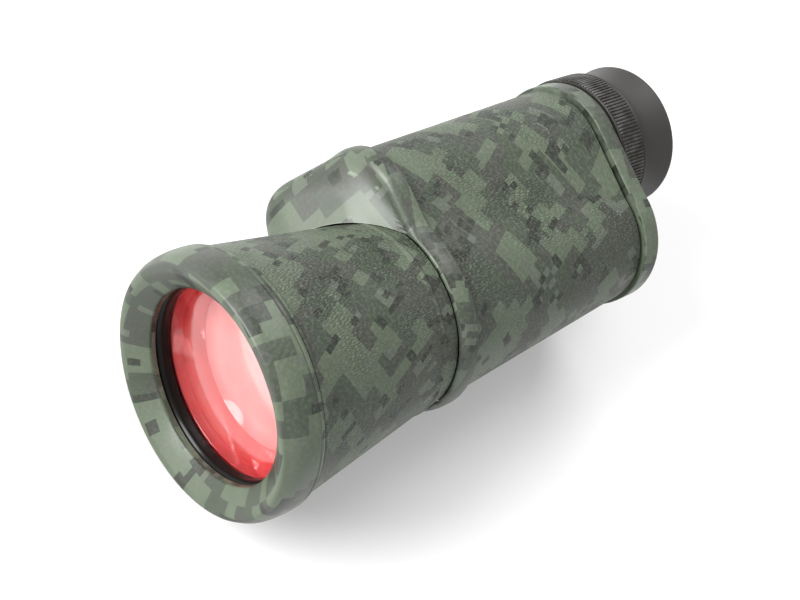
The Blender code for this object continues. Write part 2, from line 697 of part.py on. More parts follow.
def prism_mesh(base_y, towards, direction):
    """A Porro prism: a right-angled wedge whose long face lies at base_y and whose ridge points
    to one end of the body; its long ends are ground off square."""
    trim = PRISM_STEP - PRISM_HALF_LENGTH
    side = [
        (-PRISM_HALF_LENGTH, 0.0),
        (PRISM_HALF_LENGTH, 0.0),
        (PRISM_HALF_LENGTH, trim),
        (PRISM_RIDGE_TRIM, PRISM_STEP - PRISM_RIDGE_TRIM),
        (-PRISM_RIDGE_TRIM, PRISM_STEP - PRISM_RIDGE_TRIM),
        (-PRISM_HALF_LENGTH, trim),
    ]
    across = Vector((-direction.z, 0.0, direction.x)) * PRISM_HALF_WIDTH
    bm = bmesh.new()
    corners = []
    for along, height in side:
        point = direction * along + Vector((0, base_y + towards * height, 0)) - across
        corners.append(bm.verts.new(point))
    bm.faces.new(corners)
    grown = bmesh.ops.extrude_face_region(bm, geom=list(bm.faces))
    moved = [part for part in grown["geom"] if isinstance(part, bmesh.types.BMVert)]
    bmesh.ops.translate(bm, verts=moved, vec=across * 2)
    return bm


def clip_mesh(base_y, towards, direction):
    """A spring strap that bridges the prism's ridge and stands on the shelf with two feet."""
    across = Vector((-direction.z, 0.0, direction.x))
    span = PRISM_HALF_WIDTH + FIT_GAP
    top = CLIP_INNER_HEIGHT
    foot = span + CLIP_FOOT
    inner = [(-foot, 0.0), (-span, 0.0), (-span, top), (span, top), (span, 0.0), (foot, 0.0)]
    thick = CLIP_THICKNESS
    outer = [
        (foot, thick),
        (span + thick, thick),
        (span + thick, top + thick),
        (-span - thick, top + thick),
        (-span - thick, thick),
        (-foot, thick),
    ]
    bm = bmesh.new()
    corners = []
    for offset, height in inner + outer:
        point = across * offset + Vector((0, base_y + towards * height, 0)) - direction * CLIP_WIDTH / 2
        corners.append(bm.verts.new(point))
    bm.faces.new(corners)
    grown = bmesh.ops.extrude_face_region(bm, geom=list(bm.faces))
    moved = [part for part in grown["geom"] if isinstance(part, bmesh.types.BMVert)]
    bmesh.ops.translate(bm, verts=moved, vec=direction * CLIP_WIDTH)
    return bm


def make_prisms(root, looks):
    half_offset = EYEPIECE_OFFSET / 2
    elbow = Vector((-half_offset, 0, -half_offset))
    eye = Vector((-EYEPIECE_OFFSET, 0, 0))
    outer = body_rings(SKIN + FIT_GAP + HOUSING_WALL + FIT_GAP, SHELF_Y, SHELF_REAR_Y, 1)
    shelf = add_object("prism_shelf", solid_loft(outer), looks["alloy"], root)
    for name, place in (("objective", Vector()), ("elbow", elbow), ("eye", eye)):
        hole = cylinder_mesh(SHELF_Y - CUT_PAST, SHELF_REAR_Y + CUT_PAST, PRISM_APERTURE)
        cut(shelf, f"shelf_{name}_hole", hole, root, place)
    for index, (x, z) in enumerate(shelf_screw_places(), 1):
        hole = cylinder_mesh(SHELF_Y - CUT_PAST, SHELF_REAR_Y + CUT_PAST, SCREW_RADIUS + FIT_GAP, 16)
        cut(shelf, f"shelf_screw_hole_{index}", hole, root, (x, 0, z))
        screw(
            f"shelf_screw_{index}",
            SHELF_Y - SCREW_GRIP,
            SHELF_REAR_Y + FIT_GAP,
            (x, z),
            looks,
            root,
        )
    rear_way = elbow.normalized()
    front_way = (eye - elbow).normalized()
    rear_base = SHELF_REAR_Y + FIT_GAP
    front_base = SHELF_Y - FIT_GAP
    rear_prism = prism_mesh(rear_base, 1, rear_way)
    add_object("rear_prism", rear_prism, looks["glass"], root, elbow / 2)
    front_prism = prism_mesh(front_base, -1, front_way)
    add_object("front_prism", front_prism, looks["glass"], root, (elbow + eye) / 2)
    rear_clip = clip_mesh(rear_base, 1, rear_way)
    add_object("rear_prism_clip", rear_clip, looks["steel"], root, elbow / 2)
    front_clip = clip_mesh(front_base, -1, front_way)
    add_object("front_prism_clip", front_clip, looks["steel"], root, (elbow + eye) / 2)


def make_rear_cover(root, looks):
    gasket = tube_loft(
        [ring_of(inset(REAR_SECTION, REAR_GASKET_INSET), y) for y in (REAR_GASKET_Y, REAR_GASKET_Y + GASKET)],
        [
            ring_of(inset(REAR_SECTION, REAR_GASKET_INSET + GASKET_WIDTH), y)
            for y in (REAR_GASKET_Y, REAR_GASKET_Y + GASKET)
        ],
    )
    add_object("rear_gasket", gasket, looks["rubber"], root)
    rim = inset(REAR_SECTION, -REAR_PROUD)
    rings = [ring_of(rim, REAR_COVER_Y)]
    for turn in (0, 45, 90):
        angle = math.radians(turn)
        depth = REAR_EDGE_ROUND * (1 - math.cos(angle))
        rings.append(
            ring_of(inset(rim, depth), REAR_FACE_Y - REAR_EDGE_ROUND * (1 - math.sin(angle)))
        )
    cover = add_object("rear_cover", solid_loft(rings), looks["camo"], root)
    pocket = inset(REAR_SECTION, REAR_GASKET_INSET + GASKET_WIDTH)
    floor_y = REAR_FACE_Y - REAR_COVER_BACK
    hollow = solid_loft([ring_of(pocket, REAR_COVER_Y - CUT_PAST), ring_of(pocket, floor_y)])
    cut(cover, "rear_pocket", hollow, root)
    sleeve_hole = cylinder_mesh(floor_y - CUT_PAST, REAR_FACE_Y + CUT_PAST, SLEEVE_RADIUS + FIT_GAP, FINE)
    cut(cover, "sleeve_hole", sleeve_hole, root, (-EYEPIECE_OFFSET, 0, 0))
    sink = SCREW_HEAD_LENGTH + FIT_GAP
    for index, place in enumerate(rear_screw_places(), 1):
        hole = turned_mesh(
            [
                (REAR_COVER_Y - CUT_PAST, 0.0),
                (REAR_COVER_Y - CUT_PAST, SCREW_RADIUS + FIT_GAP),
                (REAR_FACE_Y - sink, SCREW_RADIUS + FIT_GAP),
                (REAR_FACE_Y - sink, SCREW_HEAD_RADIUS + FIT_GAP),
                (REAR_FACE_Y + CUT_PAST, SCREW_HEAD_RADIUS + FIT_GAP),
                (REAR_FACE_Y + CUT_PAST, 0.0),
            ],
            16,
        )
        cut(cover, f"rear_screw_hole_{index}", hole, root, (place[0], 0, place[1]))
        tip = REAR_FACE_Y - SCREW_HEAD_LENGTH - REAR_COVER_BACK - SCREW_GRIP
        head_base = REAR_FACE_Y - SCREW_HEAD_LENGTH
        screw(f"rear_cover_screw_{index}", tip, head_base, place, looks, root)


def make_eyepiece(root, looks):
    eye = bpy.data.objects.new("eyepiece_axis", None)
    eye.location = (-EYEPIECE_OFFSET, 0, 0)
    eye.parent = root
    bpy.context.scene.collection.objects.link(eye)
    bore = SLEEVE_RADIUS - SLEEVE_WALL
    barrel = bore - RUN_GAP
    reticle_y = CARRIER_FRONT_Y - RETICLE_FROM_CARRIER
    cage = RETICLE_RADIUS + RETICLE_CAGE_WALL
    flange_rear = REAR_FACE_Y - REAR_COVER_BACK - FIT_GAP
    flange_front = flange_rear - SLEEVE_FLANGE_LENGTH
    sleeve_end = RING_NUT_Y + RING_NUT_LENGTH
    shoulder = CARRIER_FRONT_Y - RUN_GAP
    stop_front = shoulder - RETICLE_STOP_LENGTH
    sleeve_profile = [
        (reticle_y, RETICLE_RADIUS + FIT_GAP),
        (reticle_y, cage),
        (shoulder - SLEEVE_STEP, cage),
        (shoulder - SLEEVE_STEP, bore + SLEEVE_SHOULDER),
        (flange_front, bore + SLEEVE_SHOULDER),
        (flange_front, SLEEVE_FLANGE),
        (flange_rear, SLEEVE_FLANGE),
        (flange_rear, SLEEVE_RADIUS),
        (sleeve_end, SLEEVE_RADIUS),
        (sleeve_end, bore),
        (shoulder, bore),
        (shoulder, RETICLE_RADIUS - RETICLE_STOP),
        (stop_front, RETICLE_RADIUS - RETICLE_STOP),
        (stop_front, RETICLE_RADIUS + FIT_GAP),
    ]
    sleeve = turned("eyepiece_sleeve", sleeve_profile, looks["black"], eye)
    reticle_rear = stop_front - FIT_GAP
    reticle_front = reticle_rear - RETICLE_THICKNESS
    disc = [
        (reticle_front, 0.0),
        (reticle_front, RETICLE_RADIUS),
        (reticle_rear, RETICLE_RADIUS),
        (reticle_rear, 0.0),
    ]
    turned("ranging_reticle", disc, looks["glass"], eye, segments=COARSE)
    keeper_bore = RETICLE_RADIUS - RETICLE_KEEPER_WALL
    keeper = plain_ring(reticle_y, reticle_front - FIT_GAP, keeper_bore, RETICLE_RADIUS)
    turned("reticle_retaining_ring", keeper, looks["black"], eye, segments=COARSE)

    ring_bore = SLEEVE_RADIUS + RUN_GAP
    groove_radius = ring_bore + DRIVE_GROOVE_DEPTH
    rim_inner = FOCUS_RING_RADIUS - FOCUS_RING_RIM
    web_rear = RING_FRONT_Y + FOCUS_RING_WEB
    edge = FOCUS_RING_EDGE
    ring_profile = [
        (RING_FRONT_Y, ring_bore),
        (RING_FRONT_Y, FOCUS_RING_RADIUS - edge),
        (RING_FRONT_Y + edge, FOCUS_RING_RADIUS),
        (RING_REAR_Y - edge, FOCUS_RING_RADIUS),
        (RING_REAR_Y, FOCUS_RING_RADIUS - edge),
        (RING_REAR_Y, rim_inner),
        (web_rear, rim_inner),
        (web_rear, ring_bore),
        (GROOVE_REAR_Y, ring_bore),
        (GROOVE_REAR_Y, groove_radius),
        (GROOVE_FRONT_Y, groove_radius),
        (GROOVE_FRONT_Y, ring_bore),
    ]
    turned("focus_ring", ring_profile, looks["black"], eye)
    nut = plain_ring(
        RING_NUT_Y, RING_NUT_Y + RING_NUT_LENGTH, SLEEVE_RADIUS + FIT_GAP, rim_inner - RING_NUT_CLEAR
    )
    turned("focus_ring_nut", nut, looks["steel"], eye)

    flange_radius = rim_inner - 2 * RUN_GAP
    carrier_profile = [
        (CARRIER_FRONT_Y, CARRIER_BORE),
        (CARRIER_FRONT_Y, barrel),
        (CARRIER_FLANGE_Y, barrel),
        (CARRIER_FLANGE_Y, flange_radius),
        (CARRIER_REAR_Y, flange_radius),
        (CARRIER_REAR_Y, CARRIER_BORE),
    ]
    carrier = turned("eyepiece_carrier", carrier_profile, looks["black"], eye)
    upright = Matrix.Rotation(math.pi / 2, 4, "X")
    hole = cylinder_mesh(0.0, groove_radius, PIN_CLEAR, 16)
    bmesh.ops.transform(hole, matrix=upright, verts=hole.verts)
    cut(carrier, "drive_pin_hole", hole, eye, (0, PIN_Y, 0), solver="MANIFOLD")
    slot = bmesh.new()
    bmesh.ops.create_cube(slot, size=1.0)
    slot_length = GROOVE_REAR_Y - GROOVE_FRONT_Y
    size = Matrix.Diagonal((2 * PIN_CLEAR, slot_length, groove_radius, 1.0))
    bmesh.ops.transform(slot, matrix=size, verts=slot.verts)
    slot_place = (0, (GROOVE_FRONT_Y + GROOVE_REAR_Y) / 2, groove_radius / 2)
    cut(sleeve, "drive_pin_slot", slot, eye, slot_place, solver="MANIFOLD")
    pin = cylinder_mesh(CARRIER_BORE + FIT_GAP, groove_radius - RUN_GAP, DRIVE_PIN_RADIUS, 12)
    bmesh.ops.transform(pin, matrix=upright, verts=pin.verts)
    add_object("focus_drive_pin", pin, looks["steel"], eye, (0, PIN_Y, 0))
    return eye


def make_eyepiece_optics(eye, looks):
    field_front = CARRIER_FRONT_Y + FIELD_LENS_FROM_CARRIER
    field_rim = field_front + FIELD_LENS_RISE
    field_end = field_rim + FIELD_LENS_EDGE
    field = lens_profile(
        field_front, field_rim, field_end, field_end + FIELD_LENS_RISE, EYE_LENS_RADIUS
    )
    turned("field_lens", field, looks["glass"], eye, segments=COARSE)
    eye_rim = CARRIER_REAR_Y - EYE_KEEPER_LENGTH - EYE_LENS_EDGE
    bore = EYE_LENS_RADIUS - SPACER_WALL
    spacer = plain_ring(field_end + FIT_GAP, eye_rim - FIT_GAP, bore, EYE_LENS_RADIUS)
    turned("lens_spacer", spacer, looks["black"], eye, segments=COARSE)
    rear_rim = eye_rim + EYE_LENS_EDGE
    lens = lens_profile(
        eye_rim - EYE_LENS_FRONT_SAG, eye_rim, rear_rim, rear_rim + EYE_LENS_REAR_SAG, EYE_LENS_RADIUS
    )
    turned("eye_lens", lens, looks["glass"], eye, segments=COARSE)
    keeper_bore = EYE_LENS_RADIUS - EYE_KEEPER_WALL
    keeper = plain_ring(rear_rim + FIT_GAP, CARRIER_REAR_Y - FIT_GAP, keeper_bore, EYE_LENS_RADIUS)
    turned("eye_lens_retaining_ring", keeper, looks["black"], eye, segments=COARSE)


def make_eyecup(eye, looks):
    """A rubber cup, narrow at its foot and flared to a rounded rim, open at both ends."""
    flare = EYECUP_RIM_RADIUS - EYECUP_NECK_RADIUS
    flare_length = EYECUP_LENGTH * EYECUP_FLARE_SHARE
    steps = 6
    outer = []
    for step in range(steps + 1):
        share = step / steps
        outer.append((EYECUP_Y + flare_length * share, EYECUP_NECK_RADIUS + flare * share**2))
    rim_y = EYECUP_Y + EYECUP_LENGTH
    foot_y = EYECUP_Y + EYECUP_FOOT
    profile = [(EYECUP_Y, EYECUP_OPENING)] + outer
    profile += [
        (rim_y, EYECUP_RIM_RADIUS - EYECUP_ROUND),
        (rim_y, EYECUP_RIM_RADIUS - EYECUP_WALL + EYECUP_ROUND),
        (EYECUP_Y + EYECUP_LENGTH / 2, EYECUP_NECK_RADIUS - EYECUP_WALL),
        (foot_y + EYECUP_FOOT_SLOPE, EYECUP_NECK_RADIUS - 2 * EYECUP_WALL),
        (foot_y, EYECUP_OPENING),
    ]
    turned("rubber_eyecup", profile, looks["rubber"], eye)


def assembly_place():
    """Where the optical origin goes so that the bounding box stands centred on the ground."""
    far = max(FAR_HALF_WIDTH + BAND_PROUD, HOOD_RADIUS)
    left = max(
        LOBE_FRONT_TOP + BAND_PROUD,
        EYEPIECE_OFFSET + NEAR_REAR_RADIUS + REAR_PROUD,
        EYEPIECE_OFFSET + FOCUS_RING_RADIUS,
    )
    rear = EYECUP_Y + EYECUP_LENGTH
    return ((left - HOOD_RADIUS) / 2, -(RIM_Y + rear) / 2, far)


def main():
    clear_scene()
    looks = {
        "camo": material("camouflage_paint", (0.13, 0.20, 0.12), 0.42),
        "grain": material("grained_camouflage_skin", (0.11, 0.17, 0.10), 0.55),
        "black": material("black_anodised_alloy", (0.02, 0.02, 0.02), 0.35, 0.6),
        "alloy": material("cast_alloy", (0.25, 0.26, 0.27), 0.5, 0.9),
        "steel": material("plain_steel", (0.45, 0.45, 0.46), 0.35, 1.0),
        "rubber": material("black_rubber", (0.03, 0.027, 0.026), 0.6),
        "ruby": material("ruby_coated_glass", (0.85, 0.12, 0.16), 0.05, 0.0, 0.6),
        "glass": material("optical_glass", (0.9, 0.95, 0.93), 0.02, 0.0, 0.9),
    }
    material("cutter", (1.0, 0.0, 1.0), 0.5)
    root = bpy.data.objects.new("monocular", None)
    bpy.context.scene.collection.objects.link(root)
    root.location = assembly_place()
    make_hood(root, looks)
    make_tube(root, looks)
    make_objective(root, looks)
    make_front_cover(root, looks)
    make_body(root, looks)
    make_prisms(root, looks)
    make_rear_cover(root, looks)
    eye = make_eyepiece(root, looks)
    make_eyepiece_optics(eye, looks)
    make_eyecup(eye, looks)


main()
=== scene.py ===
# %% [markdown]
# # A prism monocular in squared camouflage
#
# The object is a field instrument about 183 mm long: a flared hood and a conical tube carry the
# front lens, a fat oval body holds two prisms, and a ribbed ring and a rubber cup sit at the eye
# end. The solid model is loaded first as a fixed frame. This lesson then builds the surfaces that
# show, finely enough to look right close up, and gives each a painted or moulded finish.

import math

import bmesh
import bpy
import numpy as np
from mathutils import Matrix, Vector


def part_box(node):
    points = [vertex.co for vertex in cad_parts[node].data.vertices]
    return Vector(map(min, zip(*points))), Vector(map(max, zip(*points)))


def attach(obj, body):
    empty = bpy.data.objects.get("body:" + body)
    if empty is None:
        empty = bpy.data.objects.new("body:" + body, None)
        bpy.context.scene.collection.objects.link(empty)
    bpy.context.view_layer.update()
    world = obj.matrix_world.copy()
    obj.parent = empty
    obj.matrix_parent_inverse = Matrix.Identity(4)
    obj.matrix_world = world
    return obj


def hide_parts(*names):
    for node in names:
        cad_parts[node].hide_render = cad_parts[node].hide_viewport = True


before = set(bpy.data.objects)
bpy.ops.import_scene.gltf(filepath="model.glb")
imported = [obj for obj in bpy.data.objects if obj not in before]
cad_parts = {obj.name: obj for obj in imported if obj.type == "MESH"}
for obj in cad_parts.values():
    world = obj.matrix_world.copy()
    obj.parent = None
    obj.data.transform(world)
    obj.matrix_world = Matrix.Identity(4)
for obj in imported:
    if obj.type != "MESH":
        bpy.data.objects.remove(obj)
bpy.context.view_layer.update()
print("nodes:", len(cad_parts))

# %% [markdown]
# ## Places
#
# Every place comes from the frame. The two lenses give the two optical axes, and the hood gives
# the plane of the opening. All other sizes are in millimetres from that plane, which keeps the
# numbers short and easy to measure on a real instrument.

# %% Axes and the opening plane
MM = 0.001
RIM_AHEAD = 4.1
hood_low, hood_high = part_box("objective_hood")
lens_low, lens_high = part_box("objective_crown_lens")
eye_low, eye_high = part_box("eye_lens")
AXIS = Vector(
    ((lens_low.x + lens_high.x) / 2, hood_low.y + RIM_AHEAD * MM, (lens_low.z + lens_high.z) / 2)
)
EYE_AXIS = Vector(((eye_low.x + eye_high.x) / 2, AXIS.y, (eye_low.z + eye_high.z) / 2))
EYE_OFFSET = (AXIS.x - EYE_AXIS.x) / MM
print("objective axis", tuple(round(v / MM, 2) for v in AXIS))
print("eyepiece offset", round(EYE_OFFSET, 2))


def along(node):
    """Where a node starts and ends along the axis, in millimetres from the opening plane."""
    low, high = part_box(node)
    return (low.y - AXIS.y) / MM, (high.y - AXIS.y) / MM


outer_pieces = "objective_hood objective_tube front_cover rubber_armour rear_cover focus_ring"
for name in outer_pieces.split():
    print(name, [round(v, 2) for v in along(name)])

# %% [markdown]
# ## Shader groups
#
# Two painted finishes, one grained and one smooth, share the same camouflage, so the pattern is a
# node group. Rounding each place down to the corner of its cell turns smooth noise into stepped
# patches. The pattern reads a UV map laid out in metres along each surface, because a block pattern
# cut from solid space would smear where the surface curves away.

# %% Small helpers for node trees
def join(tree, socket, value):
    """Links a socket or sets a plain value."""
    if isinstance(value, bpy.types.NodeSocket):
        tree.links.new(value, socket)
    else:
        socket.default_value = value


def place(tree, kind, values=None, **settings):
    made = tree.nodes.new(kind)
    for key, value in settings.items():
        setattr(made, key, value)
    for label, value in (values or {}).items():
        join(tree, made.inputs[label], value)
    return made


def maths(tree, operation, *values):
    inputs = dict(enumerate(values))
    return place(tree, "ShaderNodeMath", inputs, operation=operation).outputs[0]


def vector_maths(tree, operation, *values):
    inputs = dict(enumerate(values))
    return place(tree, "ShaderNodeVectorMath", inputs, operation=operation).outputs[0]


def mix_colour(tree, share, first, second):
    inputs = {0: share, 6: first, 7: second}
    return place(tree, "ShaderNodeMix", inputs, data_type="RGBA").outputs[2]


def combine(tree, **parts):
    """A vector from its parts X, Y and Z. A part left out is 0."""
    return place(tree, "ShaderNodeCombineXYZ", parts).outputs[0]


def noise(tree, vector, scale, detail, roughness=0.5):
    """The value of a smooth noise texture."""
    sizes = {"Scale": scale, "Detail": detail, "Roughness": roughness}
    return place(tree, "ShaderNodeTexNoise", {"Vector": vector, **sizes}).outputs[0]


def remap(tree, value, low, high, to_low=0.0, to_high=1.0):
    """Maps the range low to high onto another, and clamps what falls outside."""
    limits = {"From Min": low, "From Max": high, "To Min": to_low, "To Max": to_high}
    return place(tree, "ShaderNodeMapRange", {"Value": value, **limits}).outputs[0]


def new_group(name, inputs, outputs, kind="ShaderNodeTree"):
    """A node group with named inputs, given as (label, type, value), and named outputs."""
    group = bpy.data.node_groups.new(name, kind)
    for label, type_name, value in inputs:
        socket = group.interface.new_socket(name=label, in_out="INPUT", socket_type=type_name)
        if value is not None:
            socket.default_value = value
    for label, type_name in outputs:
        group.interface.new_socket(name=label, in_out="OUTPUT", socket_type=type_name)
    return group, group.nodes.new("NodeGroupInput"), group.nodes.new("NodeGroupOutput")


FLOAT, COLOUR, VECTOR = "NodeSocketFloat", "NodeSocketColor", "NodeSocketVector"


def linear(red, green, blue):
    """A colour as painters' charts give it, 0 to 255, turned into Blender's linear values."""
    channels = [c / 255 for c in (red, green, blue)]
    made = [c / 12.92 if c < 0.04045 else ((c + 0.055) / 1.055) ** 2.4 for c in channels]
    return (*made, 1.0)


# %% The squared camouflage group
camouflage, given, result = new_group(
    "squared_camouflage",
    [
        ("Vector", VECTOR, None),
        ("Cell", FLOAT, 0.002),
        ("Patch", FLOAT, 0.011),
        ("Seed", FLOAT, 0.0),
    ],
    [("Color", COLOUR)],
)
PALE_GREEN = linear(76, 86, 70)
MID_GREEN = linear(55, 63, 51)
DARK_GREEN = linear(37, 42, 34)
GREY_BROWN = linear(56, 60, 52)
SAGE_GREY = linear(78, 84, 73)


def blocky_noise(tree, vector, size, patch, seed, jitter, aspect=1.0):
    """Noise that stays the same all over each cell, with a little cell-by-cell jitter. The cells
    are aspect times as long as they are wide."""
    length = maths(tree, "MULTIPLY", size, aspect)
    cell = combine(tree, X=size, Y=length, Z=1.0)
    corner = vector_maths(tree, "FLOOR", vector_maths(tree, "DIVIDE", vector, cell))
    scale = maths(tree, "DIVIDE", size, patch)
    long_scale = maths(tree, "DIVIDE", length, patch)
    spread = combine(tree, X=scale, Y=long_scale, Z=1.0)
    spot = vector_maths(tree, "MULTIPLY", corner, spread)
    smooth = {"Vector": spot, "W": seed, "Scale": 1.0, "Detail": 1.0, "Roughness": 0.55}
    broad = place(tree, "ShaderNodeTexNoise", smooth, noise_dimensions="4D")
    single = {"Vector": corner, "W": seed}
    speck = place(tree, "ShaderNodeTexWhiteNoise", single, noise_dimensions="4D")
    push = maths(tree, "MULTIPLY_ADD", speck.outputs["Value"], jitter, -0.5 * jitter)
    return maths(tree, "ADD", broad.outputs[0], push)


tree = camouflage
vector, cell = given.outputs["Vector"], given.outputs["Cell"]
patch, seed = given.outputs["Patch"], given.outputs["Seed"]
double_cell = maths(tree, "MULTIPLY", cell, 2.0)
small_patch = maths(tree, "MULTIPLY", patch, 0.6)
# Each layer: cell, patch, shift of the seed, jitter, length to width, threshold and colour.
layers = (
    (double_cell, patch, 0.0, 0.04, 0.8, 0.495, GREY_BROWN),
    (double_cell, patch, 11.3, 0.06, 1.3, 0.525, PALE_GREEN),
    (cell, small_patch, 41.9, 0.08, 2.0, 0.64, SAGE_GREY),
    (cell, small_patch, 23.7, 0.13, 1.5, 0.625, DARK_GREEN),
)
tone = MID_GREEN
for size, width, shift, jitter, aspect, threshold, colour in layers:
    moved_seed = maths(tree, "ADD", seed, shift)
    shape = blocky_noise(tree, vector, size, width, moved_seed, jitter, aspect)
    tone = mix_colour(tree, maths(tree, "GREATER_THAN", shape, threshold), tone, colour)
cloud = noise(tree, vector, 180.0, 5.0)
clouded = place(tree, "ShaderNodeHueSaturation", {"Color": tone})
join(tree, clouded.inputs["Value"], maths(tree, "MULTIPLY_ADD", cloud, 0.34, 0.83))
join(tree, result.inputs["Color"], clouded.outputs[0])
print("group", camouflage.name, "has", len(camouflage.nodes), "nodes")

# %% [markdown]
# The skin of the tube and body is pressed with a fine leather grain. Cell noise gives pebbles with
# creases between them. A slow noise bends them, and dividing one coordinate draws them out one way,
# as the press does. A second group rubs the paint along raised edges, and a third lays a little
# dust where the surface looks up.

# %% The leather grain group
leather, given, result = new_group(
    "leather_grain",
    [("Vector", VECTOR, None), ("Pebble", FLOAT, 0.0009), ("Stretch", FLOAT, 2.0)],
    [("Height", FLOAT), ("Crease", FLOAT)],
)
tree = leather
wander = {"Vector": given.outputs["Vector"], "Scale": 420.0, "Detail": 2.0}
bend = place(tree, "ShaderNodeTexNoise", wander)
bent = vector_maths(tree, "MULTIPLY", bend.outputs["Color"], (0.0011, 0.0011, 0.0))
moved = vector_maths(tree, "ADD", given.outputs["Vector"], bent)
pull = combine(tree, X=1.0, Y=given.outputs["Stretch"], Z=1.0)
pulled = vector_maths(tree, "DIVIDE", moved, pull)
rate = maths(tree, "DIVIDE", 1.0, given.outputs["Pebble"])
pebbles = place(
    tree,
    "ShaderNodeTexVoronoi",
    {"Vector": pulled, "Scale": rate},
    feature="DISTANCE_TO_EDGE",
    voronoi_dimensions="2D",
)
DOME_REACH, CREASE_REACH, FINE_SHARE = 0.35, 0.12, 0.45
dome = remap(tree, pebbles.outputs["Distance"], 0.0, DOME_REACH)
fine = noise(tree, pulled, 2600.0, 3.0)
height = maths(tree, "MULTIPLY_ADD", fine, FINE_SHARE, dome)
join(tree, result.inputs["Height"], height)
crease = remap(tree, pebbles.outputs["Distance"], 0.0, CREASE_REACH, 1.0, 0.0)
join(tree, result.inputs["Crease"], crease)

# %% The edge wear group
edge_wear, given, result = new_group(
    "edge_wear",
    [("Vector", VECTOR, None), ("Start", FLOAT, 0.53), ("Amount", FLOAT, 0.5)],
    [("Mask", FLOAT)],
)
tree = edge_wear
shape = place(tree, "ShaderNodeNewGeometry")
end = maths(tree, "ADD", given.outputs["Start"], 0.06)
ridge = remap(tree, shape.outputs["Pointiness"], given.outputs["Start"], end)
patchy = noise(tree, given.outputs["Vector"], 260.0, 4.0)
worn = maths(tree, "MULTIPLY", ridge, remap(tree, patchy, 0.4, 0.65))
join(tree, result.inputs["Mask"], maths(tree, "MULTIPLY", worn, given.outputs["Amount"]))

# %% The fine dust group
dust, given, result = new_group(
    "fine_dust", [("Vector", VECTOR, None), ("Amount", FLOAT, 0.2)], [("Mask", FLOAT)]
)
tree = dust
shape = place(tree, "ShaderNodeNewGeometry")
up = place(tree, "ShaderNodeSeparateXYZ", {"Vector": shape.outputs["Normal"]})
facing = remap(tree, up.outputs["Z"], 0.1, 1.0)
specks = noise(tree, given.outputs["Vector"], 900.0, 6.0)
settled = maths(tree, "MULTIPLY", facing, remap(tree, specks, 0.45, 0.75))
join(tree, result.inputs["Mask"], maths(tree, "MULTIPLY", settled, given.outputs["Amount"]))
print("groups:", [g.name for g in bpy.data.node_groups])

# %% [markdown]
# ## Materials
#
# Each material holds its own Principled shader. Anything that is the same all over, such as the
# index of refraction or the coat's roughness, is typed on the shader. Only what varies over the
# surface comes through a link.

# %% Helpers for materials
PEBBLE, PEEL_DEPTH = 0.0008, 0.00003
DUST = linear(168, 172, 160)
WORN = linear(150, 163, 145)
BARE_METAL = linear(120, 120, 118)


def use(tree, group, values):
    made = tree.nodes.new("ShaderNodeGroup")
    made.node_tree = group
    for label, value in values.items():
        join(tree, made.inputs[label], value)
    return made


def new_material(name, shader_values):
    made = bpy.data.materials.new(name)
    made.use_nodes = True
    shader = made.node_tree.nodes["Principled BSDF"]
    for label, value in shader_values.items():
        shader.inputs[label].default_value = value
    return made, made.node_tree, shader


def mapped(tree, source, values):
    """Texture coordinates from the named output, passed through a Mapping node."""
    coordinates = place(tree, "ShaderNodeTexCoord").outputs[source]
    return place(tree, "ShaderNodeMapping", {"Vector": coordinates, **values}).outputs[0]


def turned_vector(tree, source, turn):
    """Texture coordinates turned about Z by an angle in degrees."""
    return mapped(tree, source, {"Rotation": (0.0, 0.0, math.radians(turn))})


def bump(tree, shader, height, distance, strength=1.0):
    sizes = {"Height": height, "Distance": distance, "Strength": strength}
    made = place(tree, "ShaderNodeBump", sizes)
    join(tree, shader.inputs["Normal"], made.outputs[0])


def surface(tree, shader, colour, value, factor, shift):
    """Sets the base colour, and a roughness that follows a value."""
    join(tree, shader.inputs["Base Color"], colour)
    join(tree, shader.inputs["Roughness"], maths(tree, "MULTIPLY_ADD", value, factor, shift))


def paint(tree, shader, colour, vector, dust_amount, wear):
    """Camouflage with worn edges and a breath of dust over it, as the base colour."""
    rubbed = use(tree, edge_wear, {"Vector": vector, "Amount": wear}).outputs["Mask"]
    dusty = use(tree, dust, {"Vector": vector, "Amount": dust_amount}).outputs["Mask"]
    colour = mix_colour(tree, rubbed, colour, WORN)
    join(tree, shader.inputs["Base Color"], mix_colour(tree, dusty, colour, DUST))
    return dusty


# %% Smooth camouflage paint
def smooth_camouflage(name, turn, seed, cell=0.0021, patch=0.012):
    gloss = {"Specular IOR Level": 0.38, "Coat Weight": 0.1, "Coat Roughness": 0.24}
    made, tree, shader = new_material(name, gloss)
    vector = turned_vector(tree, "UV", turn)
    pattern = use(tree, camouflage, {"Vector": vector, "Cell": cell, "Patch": patch, "Seed": seed})
    dusty = paint(tree, shader, pattern.outputs["Color"], vector, 0.10, 0.35)
    smear = noise(tree, vector, 90.0, 4.0)
    dull = maths(tree, "MULTIPLY_ADD", smear, 0.16, 0.37)
    join(tree, shader.inputs["Roughness"], maths(tree, "MULTIPLY_ADD", dusty, 0.5, dull))
    bump(tree, shader, noise(tree, vector, 700.0, 2.0), PEEL_DEPTH, 0.6)
    return made


# %% Grained camouflage skin, pressed deep in some zones and hardly at all in others
ZONE_LOW, ZONE_HIGH, ZONE_FLOOR = 0.44, 0.58, 0.12
PAINTED_CREASE_SHADE_GREEN, CREASE_SHADE = linear(50, 55, 46), 0.3


